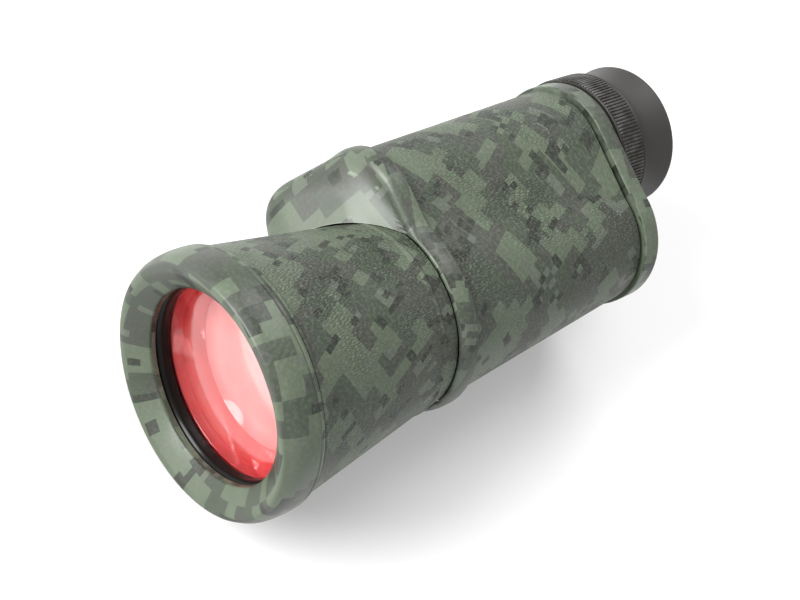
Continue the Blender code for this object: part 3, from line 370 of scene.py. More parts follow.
def grained_camouflage(name, turn, seed, stretch, cell=0.0019, patch=0.0125, depth=0.00026):
    made, tree, shader = new_material(name, {"Specular IOR Level": 0.32})
    vector = turned_vector(tree, "UV", turn)
    flat = turned_vector(tree, "UV", 0.0)
    pattern = use(tree, camouflage, {"Vector": vector, "Cell": cell, "Patch": patch, "Seed": seed})
    grain = use(tree, leather, {"Vector": flat, "Pebble": PEBBLE, "Stretch": stretch})
    height, crease = grain.outputs["Height"], grain.outputs["Crease"]
    pressed = remap(tree, noise(tree, flat, 42.0, 2.0), ZONE_LOW, ZONE_HIGH, ZONE_FLOOR)
    # Painted shade darkens the creases between the pebbles, deeper where the grain is pressed deep.
    shade = maths(tree, "MULTIPLY", crease, maths(tree, "MULTIPLY", pressed, CREASE_SHADE))
    crease_shaded = mix_colour(tree, shade, pattern.outputs["Color"], PAINTED_CREASE_SHADE_GREEN)
    paint(tree, shader, crease_shaded, vector, 0.12, 0.3)
    join(tree, shader.inputs["Roughness"], maths(tree, "MULTIPLY_ADD", height, -0.10, 0.55))
    bump(tree, shader, maths(tree, "MULTIPLY", height, pressed), depth, 0.8)
    return made


hood_paint = smooth_camouflage("hood_camouflage", -6.0, 3.1, 0.0024, 0.014)
front_cover_paint = smooth_camouflage("front_cover_camouflage", -18.0, 7.7, 0.0019, 0.011)
rear_cover_paint = smooth_camouflage("rear_cover_camouflage", -12.0, 12.4, 0.0024, 0.016)
tube_skin = grained_camouflage("tube_grained_camouflage", 30.0, 6.4, 2.4)
body_skin = grained_camouflage("body_grained_camouflage", 30.0, 9.6, 2.6)


# %% Black metal, rubber and bare metals
def plain_finish(name, colour, second, values, scale, rough, swing, depth=0.00002):
    """A finish whose colour and roughness drift between two values, with a fine surface."""
    made, tree, shader = new_material(name, values)
    vector = turned_vector(tree, "Object", 0.0)
    drift = noise(tree, vector, scale, 5.0, 0.6)
    colour = mix_colour(tree, drift, linear(*colour), linear(*second))
    rubbed = use(tree, edge_wear, {"Vector": vector, "Amount": 0.5, "Start": 0.54}).outputs["Mask"]
    colour = mix_colour(tree, rubbed, colour, BARE_METAL)
    surface(tree, shader, colour, drift, swing, rough - swing / 2)
    bump(tree, shader, noise(tree, vector, 2400.0, 3.0), depth, 0.5)
    return made


ENAMEL = {"Coat Weight": 0.06, "Coat Roughness": 0.05, "Specular IOR Level": 0.12}
ALLOY = {"Metallic": 0.35, "Specular IOR Level": 0.5}
RUBBER = {"Specular IOR Level": 0.35, "Sheen Weight": 0.08, "Sheen Roughness": 0.5}
MATT, CAST, STEEL = {"Specular IOR Level": 0.3}, {"Metallic": 0.9}, {"Metallic": 1.0}
gloss_black = plain_finish(
    "gloss_black_enamel", (10, 9, 8), (16, 14, 12), ENAMEL, 200.0, 0.3, 0.08
)
satin_black = plain_finish(
    "satin_black_alloy", (34, 33, 31), (48, 46, 43), ALLOY, 300.0, 0.42, 0.14
)
cup_rubber = plain_finish(
    "warm_black_rubber", (34, 32, 31), (46, 43, 41), RUBBER, 120.0, 0.52, 0.16, 0.00005
)
seal_rubber = plain_finish(
    "seal_rubber", (16, 18, 15), (28, 30, 26), MATT, 300.0, 0.7, 0.2, 0.00004
)
cast_metal = plain_finish(
    "cast_alloy", (150, 152, 153), (178, 179, 180), CAST, 420.0, 0.5, 0.2, 0.0001
)
bright_steel = plain_finish(
    "bright_steel", (170, 170, 172), (196, 196, 197), STEEL, 600.0, 0.3, 0.16
)
matt_black = plain_finish(
    "matt_black_lining", (22, 22, 21), (34, 33, 31), MATT, 300.0, 0.65, 0.15
)
print("finishes:", len(bpy.data.materials))


# %% [markdown]
# The front optics look deep ruby. A coating is a mirror for one colour, so the recessed disc and
# its edge wall need a strong reflection with a coloured body behind it. The disc's pale pink
# middle, fading to ruby at its rim, is a painted reflection over the coating's colour. A high index
# of refraction on the Principled shader gives that mirror without hiding the colour underneath. The
# dome in front of them is clear, with only a faint tint.

# %% Coated glass
def coated_glass(name, middle, edge, values, centre, radius, clear=0.3):
    """Glass whose colour deepens from the middle to the edge, centred by its Mapping node."""
    made, tree, shader = new_material(name, values)
    to_centre = {"Location": (-centre.x, 0.0, -centre.z), "Scale": (1.0, 0.0, 1.0)}
    vector = mapped(tree, "Object", to_centre)
    reach = place(tree, "ShaderNodeVectorMath", {0: vector}, operation="LENGTH")
    share = remap(tree, reach.outputs["Value"], clear * radius * MM, radius * MM)
    haze = noise(tree, vector, 500.0, 4.0)
    surface(tree, shader, mix_colour(tree, share, middle, edge), haze, 0.03, 0.01)
    return made


EYE_LENS_RADIUS = 10.6
# The pale pink middle colour is a painted reflection over the coating's ruby, which deepens at the
# rim.
RUBY_PAINTED_REFLECTION, RUBY_RIM = linear(255, 186, 182), linear(252, 140, 140)
WALL, WALL_RIM = linear(232, 88, 90), linear(224, 78, 80)
AMBER, AMBER_RIM = linear(60, 66, 48), linear(24, 28, 26)
ruby_glass = coated_glass("ruby_coated_glass", RUBY_PAINTED_REFLECTION, RUBY_RIM, {"IOR": 2.7}, AXIS, 23.4, 0.7)
ruby_edge = coated_glass("ruby_ground_edge", WALL, WALL_RIM, {"IOR": 2.2}, AXIS, 27.0, 0.9)
AMBER_COAT = {"IOR": 2.0, "Coat Weight": 0.5}
eye_glass = coated_glass(
    "amber_coated_eye_glass", AMBER, AMBER_RIM, AMBER_COAT, EYE_AXIS, EYE_LENS_RADIUS
)


def clear_glass(name, tint, values):
    made, tree, shader = new_material(name, {"Transmission Weight": 1.0, **values})
    vector = turned_vector(tree, "Object", 0.0)
    haze = noise(tree, vector, 200.0, 3.0)
    surface(tree, shader, mix_colour(tree, haze, tint, (1, 1, 1, 1)), haze, 0.04, 0.0)
    return made


optical_glass = clear_glass("clear_optical_glass", linear(232, 246, 240), {"IOR": 1.57})
front_glass = clear_glass("coated_front_glass", linear(255, 228, 228), {"IOR": 1.45})

# %% [markdown]
# ## Finishing a piece
#
# Almost every visible piece here is a ring: a closed profile carried round an axis or along an
# outline. One function turns a grid of points into such a ring, with a UV map in metres. The
# profile's corners are first softened by small arcs, because a perfectly sharp corner never
# catches the light the way a real edge does.


# %% From a grid of points to a ring
def dress(obj, finish, body, slot, *replaced):
    """Gives a finished mesh its material and hands it to the frame."""
    obj.data.materials.clear()
    obj.data.materials.append(finish)
    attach(obj, body)
    if replaced:
        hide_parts(*replaced)
    print(f"{obj.name}: {len(obj.data.polygons)} faces")
    return obj


def linked(name, data):
    """A new object in the scene that holds this mesh, lamp or camera."""
    made = bpy.data.objects.new(name, data)
    bpy.context.scene.collection.objects.link(made)
    return made


def baked(obj):
    """A plain mesh of an object with its modifiers applied."""
    graph = bpy.context.evaluated_depsgraph_get()
    return bpy.data.meshes.new_from_object(obj.evaluated_get(graph))


def block(*sizes):
    """A box of these sizes in millimetres, about the origin."""
    bm = bmesh.new()
    bmesh.ops.create_cube(bm, size=1.0)
    bmesh.ops.scale(bm, vec=[size * MM for size in sizes], verts=bm.verts)
    return bm


def object_from(name, bm, angle=30.0):
    mesh = bpy.data.meshes.new(name)
    bm.to_mesh(mesh)
    bm.free()
    mesh.shade_smooth()
    mesh.set_sharp_from_angle(angle=math.radians(angle))
    return linked(name, mesh)


def quads(bm, grid, bands, across, around):
    """Makes the points of a grid and this many bands of faces between its rows. Each row is
    closed on itself. The faces take a UV map in metres, called surface."""
    rows, columns = len(grid), len(grid[0])
    verts = [[bm.verts.new(point) for point in row] for row in grid]
    layer = bm.loops.layers.uv.new("surface")
    for j in range(bands):
        for i in range(columns):
            spots = ((j, i), (j, i + 1), (j + 1, i + 1), (j + 1, i))
            face = bm.faces.new([verts[row % rows][column % columns] for row, column in spots])
            for loop, (row, column) in zip(face.loops, spots):
                loop[layer].uv = (around[column], across[row])
    return verts, layer


def ring_mesh(name, grid, across, around, angle=30.0):
    """grid[j][i] is point i round the piece on profile corner j, both closed on themselves. across
    holds the distance along the profile and around the distance round the piece, each with one
    value more than the grid, for the seam."""
    bm = bmesh.new()
    quads(bm, grid, len(grid), across, around)
    if bm.calc_volume(signed=True) < 0:
        bmesh.ops.reverse_faces(bm, faces=bm.faces)
    return object_from(name, bm, angle)


def soften(corners, radius, steps=4):
    """Rounds each corner of a closed profile by an arc that its shorter side leaves room for."""
    made = []
    count = len(corners)
    for k, corner in enumerate(corners):
        here = np.array(corner[:2], float)
        wanted = corner[2] if len(corner) > 2 else radius
        before = np.array(corners[k - 1][:2], float) - here
        after = np.array(corners[(k + 1) % count][:2], float) - here
        room = 0.45 * min(np.linalg.norm(before), np.linalg.norm(after))
        before, after = before / np.linalg.norm(before), after / np.linalg.norm(after)
        reach = min(wanted, room)
        if reach < 1e-4 or np.dot(before, after) < -0.995:
            made.append(tuple(here))
            continue
        start, end = here + before * reach, here + after * reach
        for n in range(steps + 1):
            t = n / steps
            made.append(tuple((1 - t) ** 2 * start + 2 * t * (1 - t) * here + t * t * end))
    return made


def lengths(points):
    """Distance along a closed run of points, with the closing side at the end."""
    closed = np.array(list(points) + [points[0]], float)
    return np.concatenate([[0.0], np.cumsum(np.linalg.norm(np.diff(closed, axis=0), axis=1))])


def circle_points(centre, y, radius, turns):
    """Points at these angles round an axis, y millimetres along it."""
    return [centre + Vector((radius * math.cos(a), y, radius * math.sin(a))) * MM for a in turns]


def turned_ring(name, corners, centre, radius=0.2, segments=192, angle=30.0, steps=4):
    """A closed profile of (along, radius) corners in millimetres, carried round an axis."""
    profile = soften(corners, radius, steps)
    turns = [2 * math.pi * i / segments - math.pi / 2 for i in range(segments)]
    grid = [circle_points(centre, y, r, turns) for y, r in profile]
    mean = max(r for _, r in profile) * MM
    around = [2 * math.pi * mean * i / segments for i in range(segments + 1)]
    return ring_mesh(name, grid, lengths(profile) * MM, around, angle)


# %% [markdown]
# ## Hood and tube
#
# The hood is a turned alloy ring with a broad soft lip that slopes in to the opening. The tube
# tapers back from it to the front cover. Two fine beads mark the joint between them, and a raised
# ridge runs round the tube just before its far end.

# %% The hood
hood_y = along("objective_hood")
hood_radius = (hood_high.x - hood_low.x) / 2 / MM
hood_corners = [
    (0.3, 26.0, 0.5),
    (-1.6, 28.3, 1.2),
    (hood_y[0] + 0.15, 31.6, 1.5),
    (hood_y[0], 33.4, 2.4),
    (-1.4, 35.0, 2.0),
    (2.0, hood_radius, 1.5),
    (5.6, hood_radius, 0.3),
    (6.05, hood_radius - 0.35, 0.2),
    (6.5, hood_radius - 0.05, 0.2),
    (hood_y[1], hood_radius - 0.3, 0.15),
    (hood_y[1], 32.6, 0.1),
    (2.2, 32.6, 0.1),
    (2.2, 26.0, 0.2),
]
hood = turned_ring("hood", hood_corners, AXIS, 0.2, 288, 40.0, 6)
dress(hood, hood_paint, "monocular_body", "camo_paint", "objective_hood")

# %% The tube
TUBE_FRONT, TUBE_END = 7.6, 60.2
TUBE_FRONT_RADIUS, TUBE_END_RADIUS = 34.9, 27.2
RIDGE = 55.0


def tube_radius(y, extra=0.0):
    share = (y - TUBE_FRONT) / (TUBE_END - TUBE_FRONT)
    return TUBE_FRONT_RADIUS + (TUBE_END_RADIUS - TUBE_FRONT_RADIUS) * share + extra


tube_corners = [
    (TUBE_FRONT, 32.5, 0.1),
    (TUBE_FRONT, tube_radius(TUBE_FRONT), 0.3),
    (8.7, tube_radius(8.7), 0.3),
    (9.1, tube_radius(9.1, -0.42), 0.2),
    (RIDGE - 0.8, tube_radius(RIDGE - 0.8, -0.35), 0.4),
    (RIDGE, tube_radius(RIDGE, 0.2), 0.4),
    (RIDGE + 0.7, tube_radius(RIDGE + 0.7, -0.1), 0.3),
    (TUBE_END, tube_radius(TUBE_END, -0.1), 0.2),
    (TUBE_END, 20.8, 0.2),
    (66.0, 20.8, 0.2),
    (66.0, 19.0, 0.2),
    (57.2, 25.2, 0.5),
    (22.3, 30.6, 0.3),
    (8.2, 31.2, 0.3),
]
tube = turned_ring("objective_tube_skin", tube_corners, AXIS, 0.2, 288, 35.0, 4)
dress(tube, tube_skin, "monocular_body", "camo_grain", "objective_tube")

# %% [markdown]
# ## The front lens
#
# Behind a glossy black ring is a thin clear dome, and further in a ruby disc with a coloured wall
# round its edge. The disc's pale middle is a painted reflection. These three simple shapes give the
# look of the coated pair of lenses. They aren't the true shapes of its two glasses, which the frame
# holds. The black ring has a rounded lip.


# %% Lenses
INNER_RADIUS = 22.6
DOME = dict(front_vertex=3.3, front_rim=6.9, rear_rim=7.7, rear_vertex=4.1, radius=27.5)
DISC = dict(front_vertex=14.0, front_rim=15.8, rear_rim=17.6, rear_vertex=18.2)


def turned_lens(name, centre, front_vertex, front_rim, rear_rim, rear_vertex, radius, segments=160):
    """A closed lens whose two faces are shallow parabolas, placed by their middles and rims."""
    count = 28
    shares = [n / count for n in range(count + 1)]
    front = [(front_vertex + (front_rim - front_vertex) * s * s, radius * s) for s in shares]
    rear = [(rear_vertex + (rear_rim - rear_vertex) * s * s, radius * s) for s in reversed(shares)]
    turns = [2 * math.pi * i / segments for i in range(segments)]
    bm = bmesh.new()
    loops = []
    for y, r in front + rear:
        if r < 1e-9:
            loops.append([bm.verts.new(centre + Vector((0, y, 0)) * MM)] * segments)
            continue
        loops.append([bm.verts.new(point) for point in circle_points(centre, y, r, turns)])
    for first, second in zip(loops, loops[1:]):
        for i in range(segments):
            k = (i + 1) % segments
            bm.faces.new(dict.fromkeys((first[i], first[k], second[k], second[i])))
    if bm.calc_volume(signed=True) < 0:
        bmesh.ops.reverse_faces(bm, faces=bm.faces)
    return object_from(name, bm, 40.0)


front_lens = turned_lens("front_lens", AXIS, **DOME)
dress(front_lens, front_glass, "monocular_body", "ruby_glass", "objective_crown_lens")
# The inner disc's pale middle is a painted reflection.
inner_lens = turned_lens("inner_lens", AXIS, **DISC, radius=INNER_RADIUS)
dress(inner_lens, ruby_glass, "monocular_body", "ruby_glass", "objective_flint_lens")
edge_corners = [
    (7.9, 26.3, 0.2),
    (7.9, 27.4, 0.1),
    (17.2, 27.4, 0.1),
    (17.2, INNER_RADIUS + 0.1, 0.1),
    (15.9, INNER_RADIUS + 0.1, 0.3),
]
lens_edge = turned_ring("inner_lens_edge", edge_corners, AXIS, 0.2, 200, 40.0, 3)
dress(lens_edge, ruby_edge, "monocular_body", "ruby_glass")
front, rear = along("eye_lens")
eye_lens = turned_lens(
    "eye_lens_glass", EYE_AXIS, front, front + 1.4, rear - 0.6, rear, EYE_LENS_RADIUS
)
dress(eye_lens, eye_glass, "eyepiece", "optical_glass", "eye_lens")

# %% The black ring round the front lens
ring_corners = [
    (2.5, 26.6, 0.5),
    (2.5, 28.1, 0.1),
    (6.6, 28.1, 0.1),
    (6.6, 27.5, 0.1),
    (6.15, 25.6, 0.2),
    (3.6, 25.6, 1.0),
]
lens_ring = turned_ring("lens_ring", ring_corners, AXIS, 0.3, 240, 40.0, 6)
dress(lens_ring, gloss_black, "monocular_body", "black_alloy", "lens_retaining_ring")

# %% [markdown]
# ## The body outline
#
# Seen along the axis, the body is an oval with a soft waist: a round part about the lens axis and a
# lobe about the eyepiece axis. It changes slowly from front to rear, so the outline is a function
# of seven sizes, and a section between the ends takes its sizes in proportion.

# %% The outline and its sections
FRONT = dict(
    near_radius=27.3, near_half=22.8, far_half=26.4, lobe=27.6, corner=17.0, top=44.6, waist=14.0
)
REAR = dict(
    near_radius=22.0, near_half=21.7, far_half=26.4, lobe=26.0, corner=21.7, top=47.7, waist=14.0
)
BODY_Y = along("rubber_armour")
FINENESS = 5


def section(y, depth=0.0):
    """The sizes of the outline at a place along the body, a wall's depth further in."""
    share = (y - BODY_Y[0]) / (BODY_Y[1] - BODY_Y[0])
    sizes = {key: FRONT[key] + share * (REAR[key] - FRONT[key]) for key in FRONT}
    for key in ("near_radius", "near_half", "far_half", "corner", "top"):
        sizes[key] -= depth
    sizes["waist"] += depth
    return sizes


def arc(centre, radii, start, end, count):
    turns = [start + (end - start) * n / count for n in range(count)]
    return [(centre[0] + radii[0] * math.cos(t), centre[1] + radii[1] * math.sin(t)) for t in turns]


def outline(sizes):
    """Points (u, v), where u runs towards the eyepiece and v towards the near side."""
    near, half, waist = sizes["near_radius"], sizes["near_half"], sizes["waist"]
    lobe, corner, top, far = sizes["lobe"], sizes["corner"], sizes["top"], sizes["far_half"]
    rise = half + waist
    waist_u = math.sqrt(max((near + waist) ** 2 - rise**2, 0.0))
    meet = math.atan2(rise, waist_u)
    quarter = math.pi / 2
    points = arc((0, 0), (near, near), math.pi, meet, 10 * FINENESS)
    points += arc((waist_u, rise), (waist, waist), meet - math.pi, -quarter, 4 * FINENESS)
    flat = [(waist_u + (lobe - waist_u) * n / FINENESS, half) for n in range(FINENESS)]
    points += flat
    points += arc((lobe, half - corner), (corner, corner), quarter, 0.0, 8 * FINENESS)
    points += [(top, (half - corner) * (1 - n / 3)) for n in range(3)]
    points += arc((lobe, 0), (top - lobe, far), 0.0, -quarter, 8 * FINENESS)
    points += [(lobe * (1 - n / (2 * FINENESS)), -far) for n in range(2 * FINENESS)]
    points += arc((0, 0), (near, far), -quarter, -math.pi, 8 * FINENESS)
    return points


def place_outline(points, y):
    return [AXIS + Vector((-u, y, v)) * MM for u, v in points]


print("outline points:", len(outline(section(BODY_Y[0]))))


# %% A ring that follows the outline
def outline_ring(name, corners, radius=0.2, angle=30.0, steps=4):
    """Corners are (along, depth below the skin line) in millimetres, in a closed profile."""
    profile = soften(corners, radius, steps)
    grid = [place_outline(outline(section(y, depth)), y) for y, depth in profile]
    middle = outline(section((BODY_Y[0] + BODY_Y[1]) / 2))
    return ring_mesh(name, grid, lengths(profile) * MM, lengths(middle) * MM, angle)


# %% [markdown]
# ## Body skin
#
# The grained skin is moulded over the casting. It is a thin wall that follows the outline from the
# front cover to the rear seal, with its edges eased.

# %% The skin and the rear seal
SKIN_WALL = 1.2
stations = [BODY_Y[0] + (BODY_Y[1] - BODY_Y[0]) * n / 24 for n in range(25)]
skin_corners = [(y, 0.0, 0.54) for y in stations]
skin_corners += [(BODY_Y[1], SKIN_WALL, 0.1), (BODY_Y[0], SKIN_WALL, 0.1)]
body = outline_ring("body_skin", skin_corners)
dress(body, body_skin, "monocular_body", "camo_grain", "rubber_armour")
front, rear = along("rear_gasket")
seal = outline_ring("rear_seal", [(front, 1.0), (front, 3.0), (rear, 3.0), (rear, 1.0)])
dress(seal, seal_rubber, "monocular_body", "black_rubber", "rear_gasket")

# %% [markdown]
# ## Front cover
#
# The front cover is the piece with the most shape: a shoulder band round the body, and a nose that
# hides the front prism's end. Its front is a height over the section: a leaning front, two slopes
# that fall away from it, a rounded edge, and the shoulder, joined by a smooth minimum that leaves
# a soft fillet. Each run of points starts on the band's outline and walks in to the tube, spaced
# evenly along the surface, so the steep side of the nose gets as many faces as it needs.

# %% Sizes of the nose and shoulder
COVER_Y = along("front_cover")
SHOULDER_FRONT, COVER_REAR = 60.4, COVER_Y[1]
SHOULDER_RISE, SHOULDER_WIDTH = 4.2, 3.0
NOSE_FRONT, NOSE_EDGE = 46.0, 6.0
NOSE_LEAN, LEAN_FROM = 0.27, 42.0
RIDGE_NEAR, RIDGE_FAR = -7.0, -13.0
NEAR_SLOPE, FAR_SLOPE = math.tan(math.radians(31.0)), math.tan(math.radians(40.0))
NOSE_HALF, NOSE_CORNER, NOSE_TOP = 21.2, 15.0, 45.2
NOSE_DRAFT, NEAR_EASE, FILLET = 13.0, 9.0, 4.2
NOSE_ROOT, RIDGE_BLEND, FRONT_BLEND = -12.0, 2.5, 2.0


def smooth_least(first, second, width):
    blend = np.clip(0.5 + 0.5 * (second - first) / width, 0.0, 1.0)
    return second + (first - second) * blend - width * blend * (1 - blend)


def nose_outline():
    across, half = NOSE_TOP - NOSE_CORNER, NOSE_HALF - NOSE_CORNER
    radii, quarter = (NOSE_CORNER, NOSE_CORNER), math.pi / 2
    points = [(NOSE_ROOT, NOSE_HALF)]
    points += arc((across, half), radii, quarter, 0.0, 24)
    points += arc((across, -half), radii, 0.0, -quarter, 24)
    points += [(across, -NOSE_HALF), (NOSE_ROOT, -NOSE_HALF)]
    return np.array(points)


def depth_inside(points, polygon):
    """How far each point is inside a closed polygon, negative outside."""
    start, end = polygon, np.roll(polygon, -1, axis=0)
    side = end - start
    rel = points[:, None, :] - start[None]
    t = np.clip((rel * side).sum(-1) / (side**2).sum(-1), 0.0, 1.0)
    gap = np.linalg.norm(rel - t[..., None] * side, axis=-1).min(1)
    above = (start[:, 1] > points[:, None, 1]) != (end[:, 1] > points[:, None, 1])
    with np.errstate(divide="ignore", invalid="ignore"):
        cross = start[:, 0] + (points[:, None, 1] - start[:, 1]) * side[:, 0] / side[:, 1]
    inside = (above & (points[:, None, 0] < cross)).sum(1) % 2 == 1
    return np.where(inside, gap, -gap)


def rounded(depth, width, rise):
    """A quarter of an ellipse: the full rise at depth 0, level from width on."""
    share = np.clip(1 - depth / width, 0.0, 1.0)
    return rise * (1 - np.sqrt(1 - share**2))


# %% The height of the cover's front
BAND_PROUD = 1.7
band_outline = np.array(outline(section(BODY_Y[0], -BAND_PROUD)))
nose_line = nose_outline()


def front_height(points, shoulder_width):
    from_band = depth_inside(points, band_outline)
    shoulder = SHOULDER_FRONT + rounded(from_band, shoulder_width, SHOULDER_RISE)
    front = NOSE_FRONT + (points[:, 0] - LEAN_FROM) * NOSE_LEAN
    near = front + (points[:, 1] - RIDGE_NEAR) * NEAR_SLOPE
    far = front + (RIDGE_FAR - points[:, 1]) * FAR_SLOPE
    face = -smooth_least(-near, -far, RIDGE_BLEND)
    face = -smooth_least(-face, -front, FRONT_BLEND)
    depth = depth_inside(points, nose_line)
    edge_width = NOSE_EDGE + NEAR_EASE * np.clip(points[:, 1] / NOSE_HALF, 0.0, 1.0)
    draft = np.where(depth < 0, -depth * NOSE_DRAFT, 0.0)
    nose = face + rounded(depth, edge_width, NOSE_EDGE) + draft
    return smooth_least(nose, shoulder, FILLET)


# %% The front cover
COLUMN_POINTS, FINE_STEPS, GAP = 72, 900, 0.12
TUBE_REACH, SEARCH_END, LEAST_POINTS = 27.45, 26.0, 3
columns = []
for outer in band_outline:
    reach = np.linalg.norm(outer)
    width = min(SHOULDER_WIDTH, 0.95 * max(reach - TUBE_REACH, 0.4))
    radii = np.linspace(reach, SEARCH_END, FINE_STEPS)
    spots = outer[None] * (radii / reach)[:, None]
    heights = front_height(spots, width)
    clear = radii - np.minimum(tube_radius(heights), tube_radius(40.0)) - GAP
    stop = int(np.argmax(clear < 0)) if (clear < 0).any() else len(radii)
    stop = max(stop, LEAST_POINTS)
    run = np.column_stack([spots[:stop], heights[:stop]])
    start = np.array([[*outer, COVER_REAR - 0.25], [*outer, COVER_REAR - 1.0]])
    run = np.vstack([start, run])
    travelled = np.concatenate([[0.0], np.cumsum(np.linalg.norm(np.diff(run, axis=0), axis=1))])
    even = np.linspace(0.0, travelled[-1], COLUMN_POINTS)
    column = np.column_stack([np.interp(even, travelled, run[:, k]) for k in range(3)])
    inner = column[-1]
    eased = outer * (1 - 0.25 / reach)
    tail = np.array([[inner[0], inner[1], COVER_REAR], [eased[0], eased[1], COVER_REAR]])
    columns.append(np.vstack([column, tail]))
columns = np.array(columns)
grid = []
for row in columns.swapaxes(0, 1):
    grid.append([AXIS + Vector((-u, y, v)) * MM for u, v, y in row])
across = [0.0] * (len(grid) + 1)
cover = ring_mesh("front_cover_shell", grid, across, lengths(band_outline) * MM, 50.0)

# %% The pattern on the front cover
# Faces that look along the axis take it straight from x and z. The rest take it from the distance
# round the outline and the place along the axis.
LOOKS_ALONG = 0.6
uv = cover.data.uv_layers["surface"].data
for face in cover.data.polygons:
    for corner in face.loop_indices:
        spot = cover.data.vertices[cover.data.loops[corner].vertex_index].co - AXIS
        if abs(face.normal.y) > LOOKS_ALONG:
            uv[corner].uv = (spot.x, spot.z)
        else:
            uv[corner].uv = (uv[corner].uv[0], spot.y)
dress(cover, front_cover_paint, "monocular_body", "camo_paint", "front_cover")

# %% [markdown]
# ## Rear cover
#
# The rear cover is a smooth cap with a flat back, bored for the eyepiece and counterbored for three
# screws. The cap is lofted along the outline and the holes are cut by a Boolean, which keeps the
# flat back truly flat.

# %% The rear cover
REAR_Y = along("rear_cover")
PROUD, EDGE_ROUND = -1.2, 1.3
SLEEVE_BORE, SCREW_BORE, COUNTERBORE_DEPTH = 16.2, 2.2, 1.5
cap_profile = [(REAR_Y[0], PROUD + 0.3), (REAR_Y[0] + 0.3, PROUD)]
for t in np.linspace(0, math.pi / 2, 9):
    y = REAR_Y[1] - EDGE_ROUND + EDGE_ROUND * math.sin(t)
    cap_profile.append((y, PROUD + EDGE_ROUND * (1 - math.cos(t))))
rows = [place_outline(outline(section(BODY_Y[1], depth)), y) for y, depth in cap_profile]
across = [(y - REAR_Y[0]) * MM for y, depth in cap_profile]
bm = bmesh.new()
loops, uv = quads(bm, rows, len(rows) - 1, across, lengths(outline(section(BODY_Y[1]))) * MM)
for loop_of_verts in (loops[0], loops[-1]):
    face = bm.faces.new(loop_of_verts)
    for loop in face.loops:
        loop[uv].uv = (loop.vert.co.x, loop.vert.co.z)
bmesh.ops.recalc_face_normals(bm, faces=bm.faces)
rear_cap = object_from("rear_cover_cap", bm)


def cut(target, name, tool):
    """Takes the tool's shape out of a piece for good, and removes the tool."""
    change = target.modifiers.new(name, "BOOLEAN")
    change.object = tool
    change.operation = "DIFFERENCE"
    change.solver = "EXACT"
    mesh = baked(target)
    target.modifiers.clear()
    target.data = mesh
    bpy.data.objects.remove(tool)


def bore(target, name, front, rear, radius, spot, segments):
    """Cuts a round hole along the axis at (x, z) in millimetres from the objective axis."""
    bm = bmesh.new()
    turn = Matrix.Rotation(math.pi / 2, 4, "X")
    sizes = dict(radius1=radius * MM, radius2=radius * MM, depth=(rear - front) * MM)
    bmesh.ops.create_cone(bm, cap_ends=True, segments=segments, matrix=turn, **sizes)
    middle = AXIS + Vector((spot[0], (front + rear) / 2, spot[1])) * MM
    bmesh.ops.translate(bm, verts=bm.verts, vec=middle)
    cut(target, name, object_from(name, bm))


screw_spots = []
for number in (1, 2, 3):
    low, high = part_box(f"rear_cover_screw_{number}")
    middle = (low + high) / 2 - AXIS
    screw_spots.append((middle.x / MM, middle.z / MM))
behind = REAR_Y[1] + 1
bore(rear_cap, "sleeve_bore", REAR_Y[0] - 1, behind, SLEEVE_BORE, (-EYE_OFFSET, 0.0), 128)
for number, spot in enumerate(screw_spots):
    floor_y = REAR_Y[1] - COUNTERBORE_DEPTH
    bore(rear_cap, f"screw_bore_{number}", floor_y, behind, SCREW_BORE, spot, 48)
rear_cap.data.set_sharp_from_angle(angle=math.radians(30))
dress(rear_cap, rear_cover_paint, "monocular_body", "camo_paint", "rear_cover")

# %% [markdown]
# ## Screws
#
# Three small screws hold the rear cover. They are one turned pan head with a slot, put on three
# points by Geometry Nodes, so a fourth screw would be one more point.


# %% Running a Geometry Nodes tree
GEOMETRY, OBJECT, MATERIAL = "NodeSocketGeometry", "NodeSocketObject", "NodeSocketMaterial"


def finish_tree(tree, output, geometry, material):
    """Ends a tree in Realize Instances and Set Material."""
    real = place(tree, "GeometryNodeRealizeInstances", {"Geometry": geometry})
    inputs = {"Geometry": real.outputs[0], "Material": material}
    painted = place(tree, "GeometryNodeSetMaterial", inputs)
    join(tree, output.inputs["Geometry"], painted.outputs[0])


def copies_on(tree, points, shape, axis, turn_step):
    """A shape on every point, each turned about the axis by one step more than the last."""
    index = place(tree, "GeometryNodeInputIndex").outputs[0]
    turn = maths(tree, "MULTIPLY", index, turn_step)
    rotation = combine(tree, **{axis: turn})
    pattern = place(tree, "GeometryNodeObjectInfo", {"Object": shape}).outputs["Geometry"]
    inputs = {"Points": points, "Instance": pattern, "Rotation": rotation}
    return place(tree, "GeometryNodeInstanceOnPoints", inputs).outputs[0]


def grown(name, tree, start_mesh, values):
    """Runs a tree on a mesh with these inputs, and gives the result as a plain mesh object."""
    host = linked(name + "_host", start_mesh)
    run = host.modifiers.new("grow", "NODES")
    run.node_group = tree
    for item in tree.interface.items_tree:
        if item.item_type == "SOCKET" and item.in_out == "INPUT" and item.name in values:
            run[item.identifier] = values[item.name]
    bpy.context.view_layer.update()
    mesh = baked(host)
    bpy.data.objects.remove(host)
    mesh.name = name
    return linked(name, mesh)


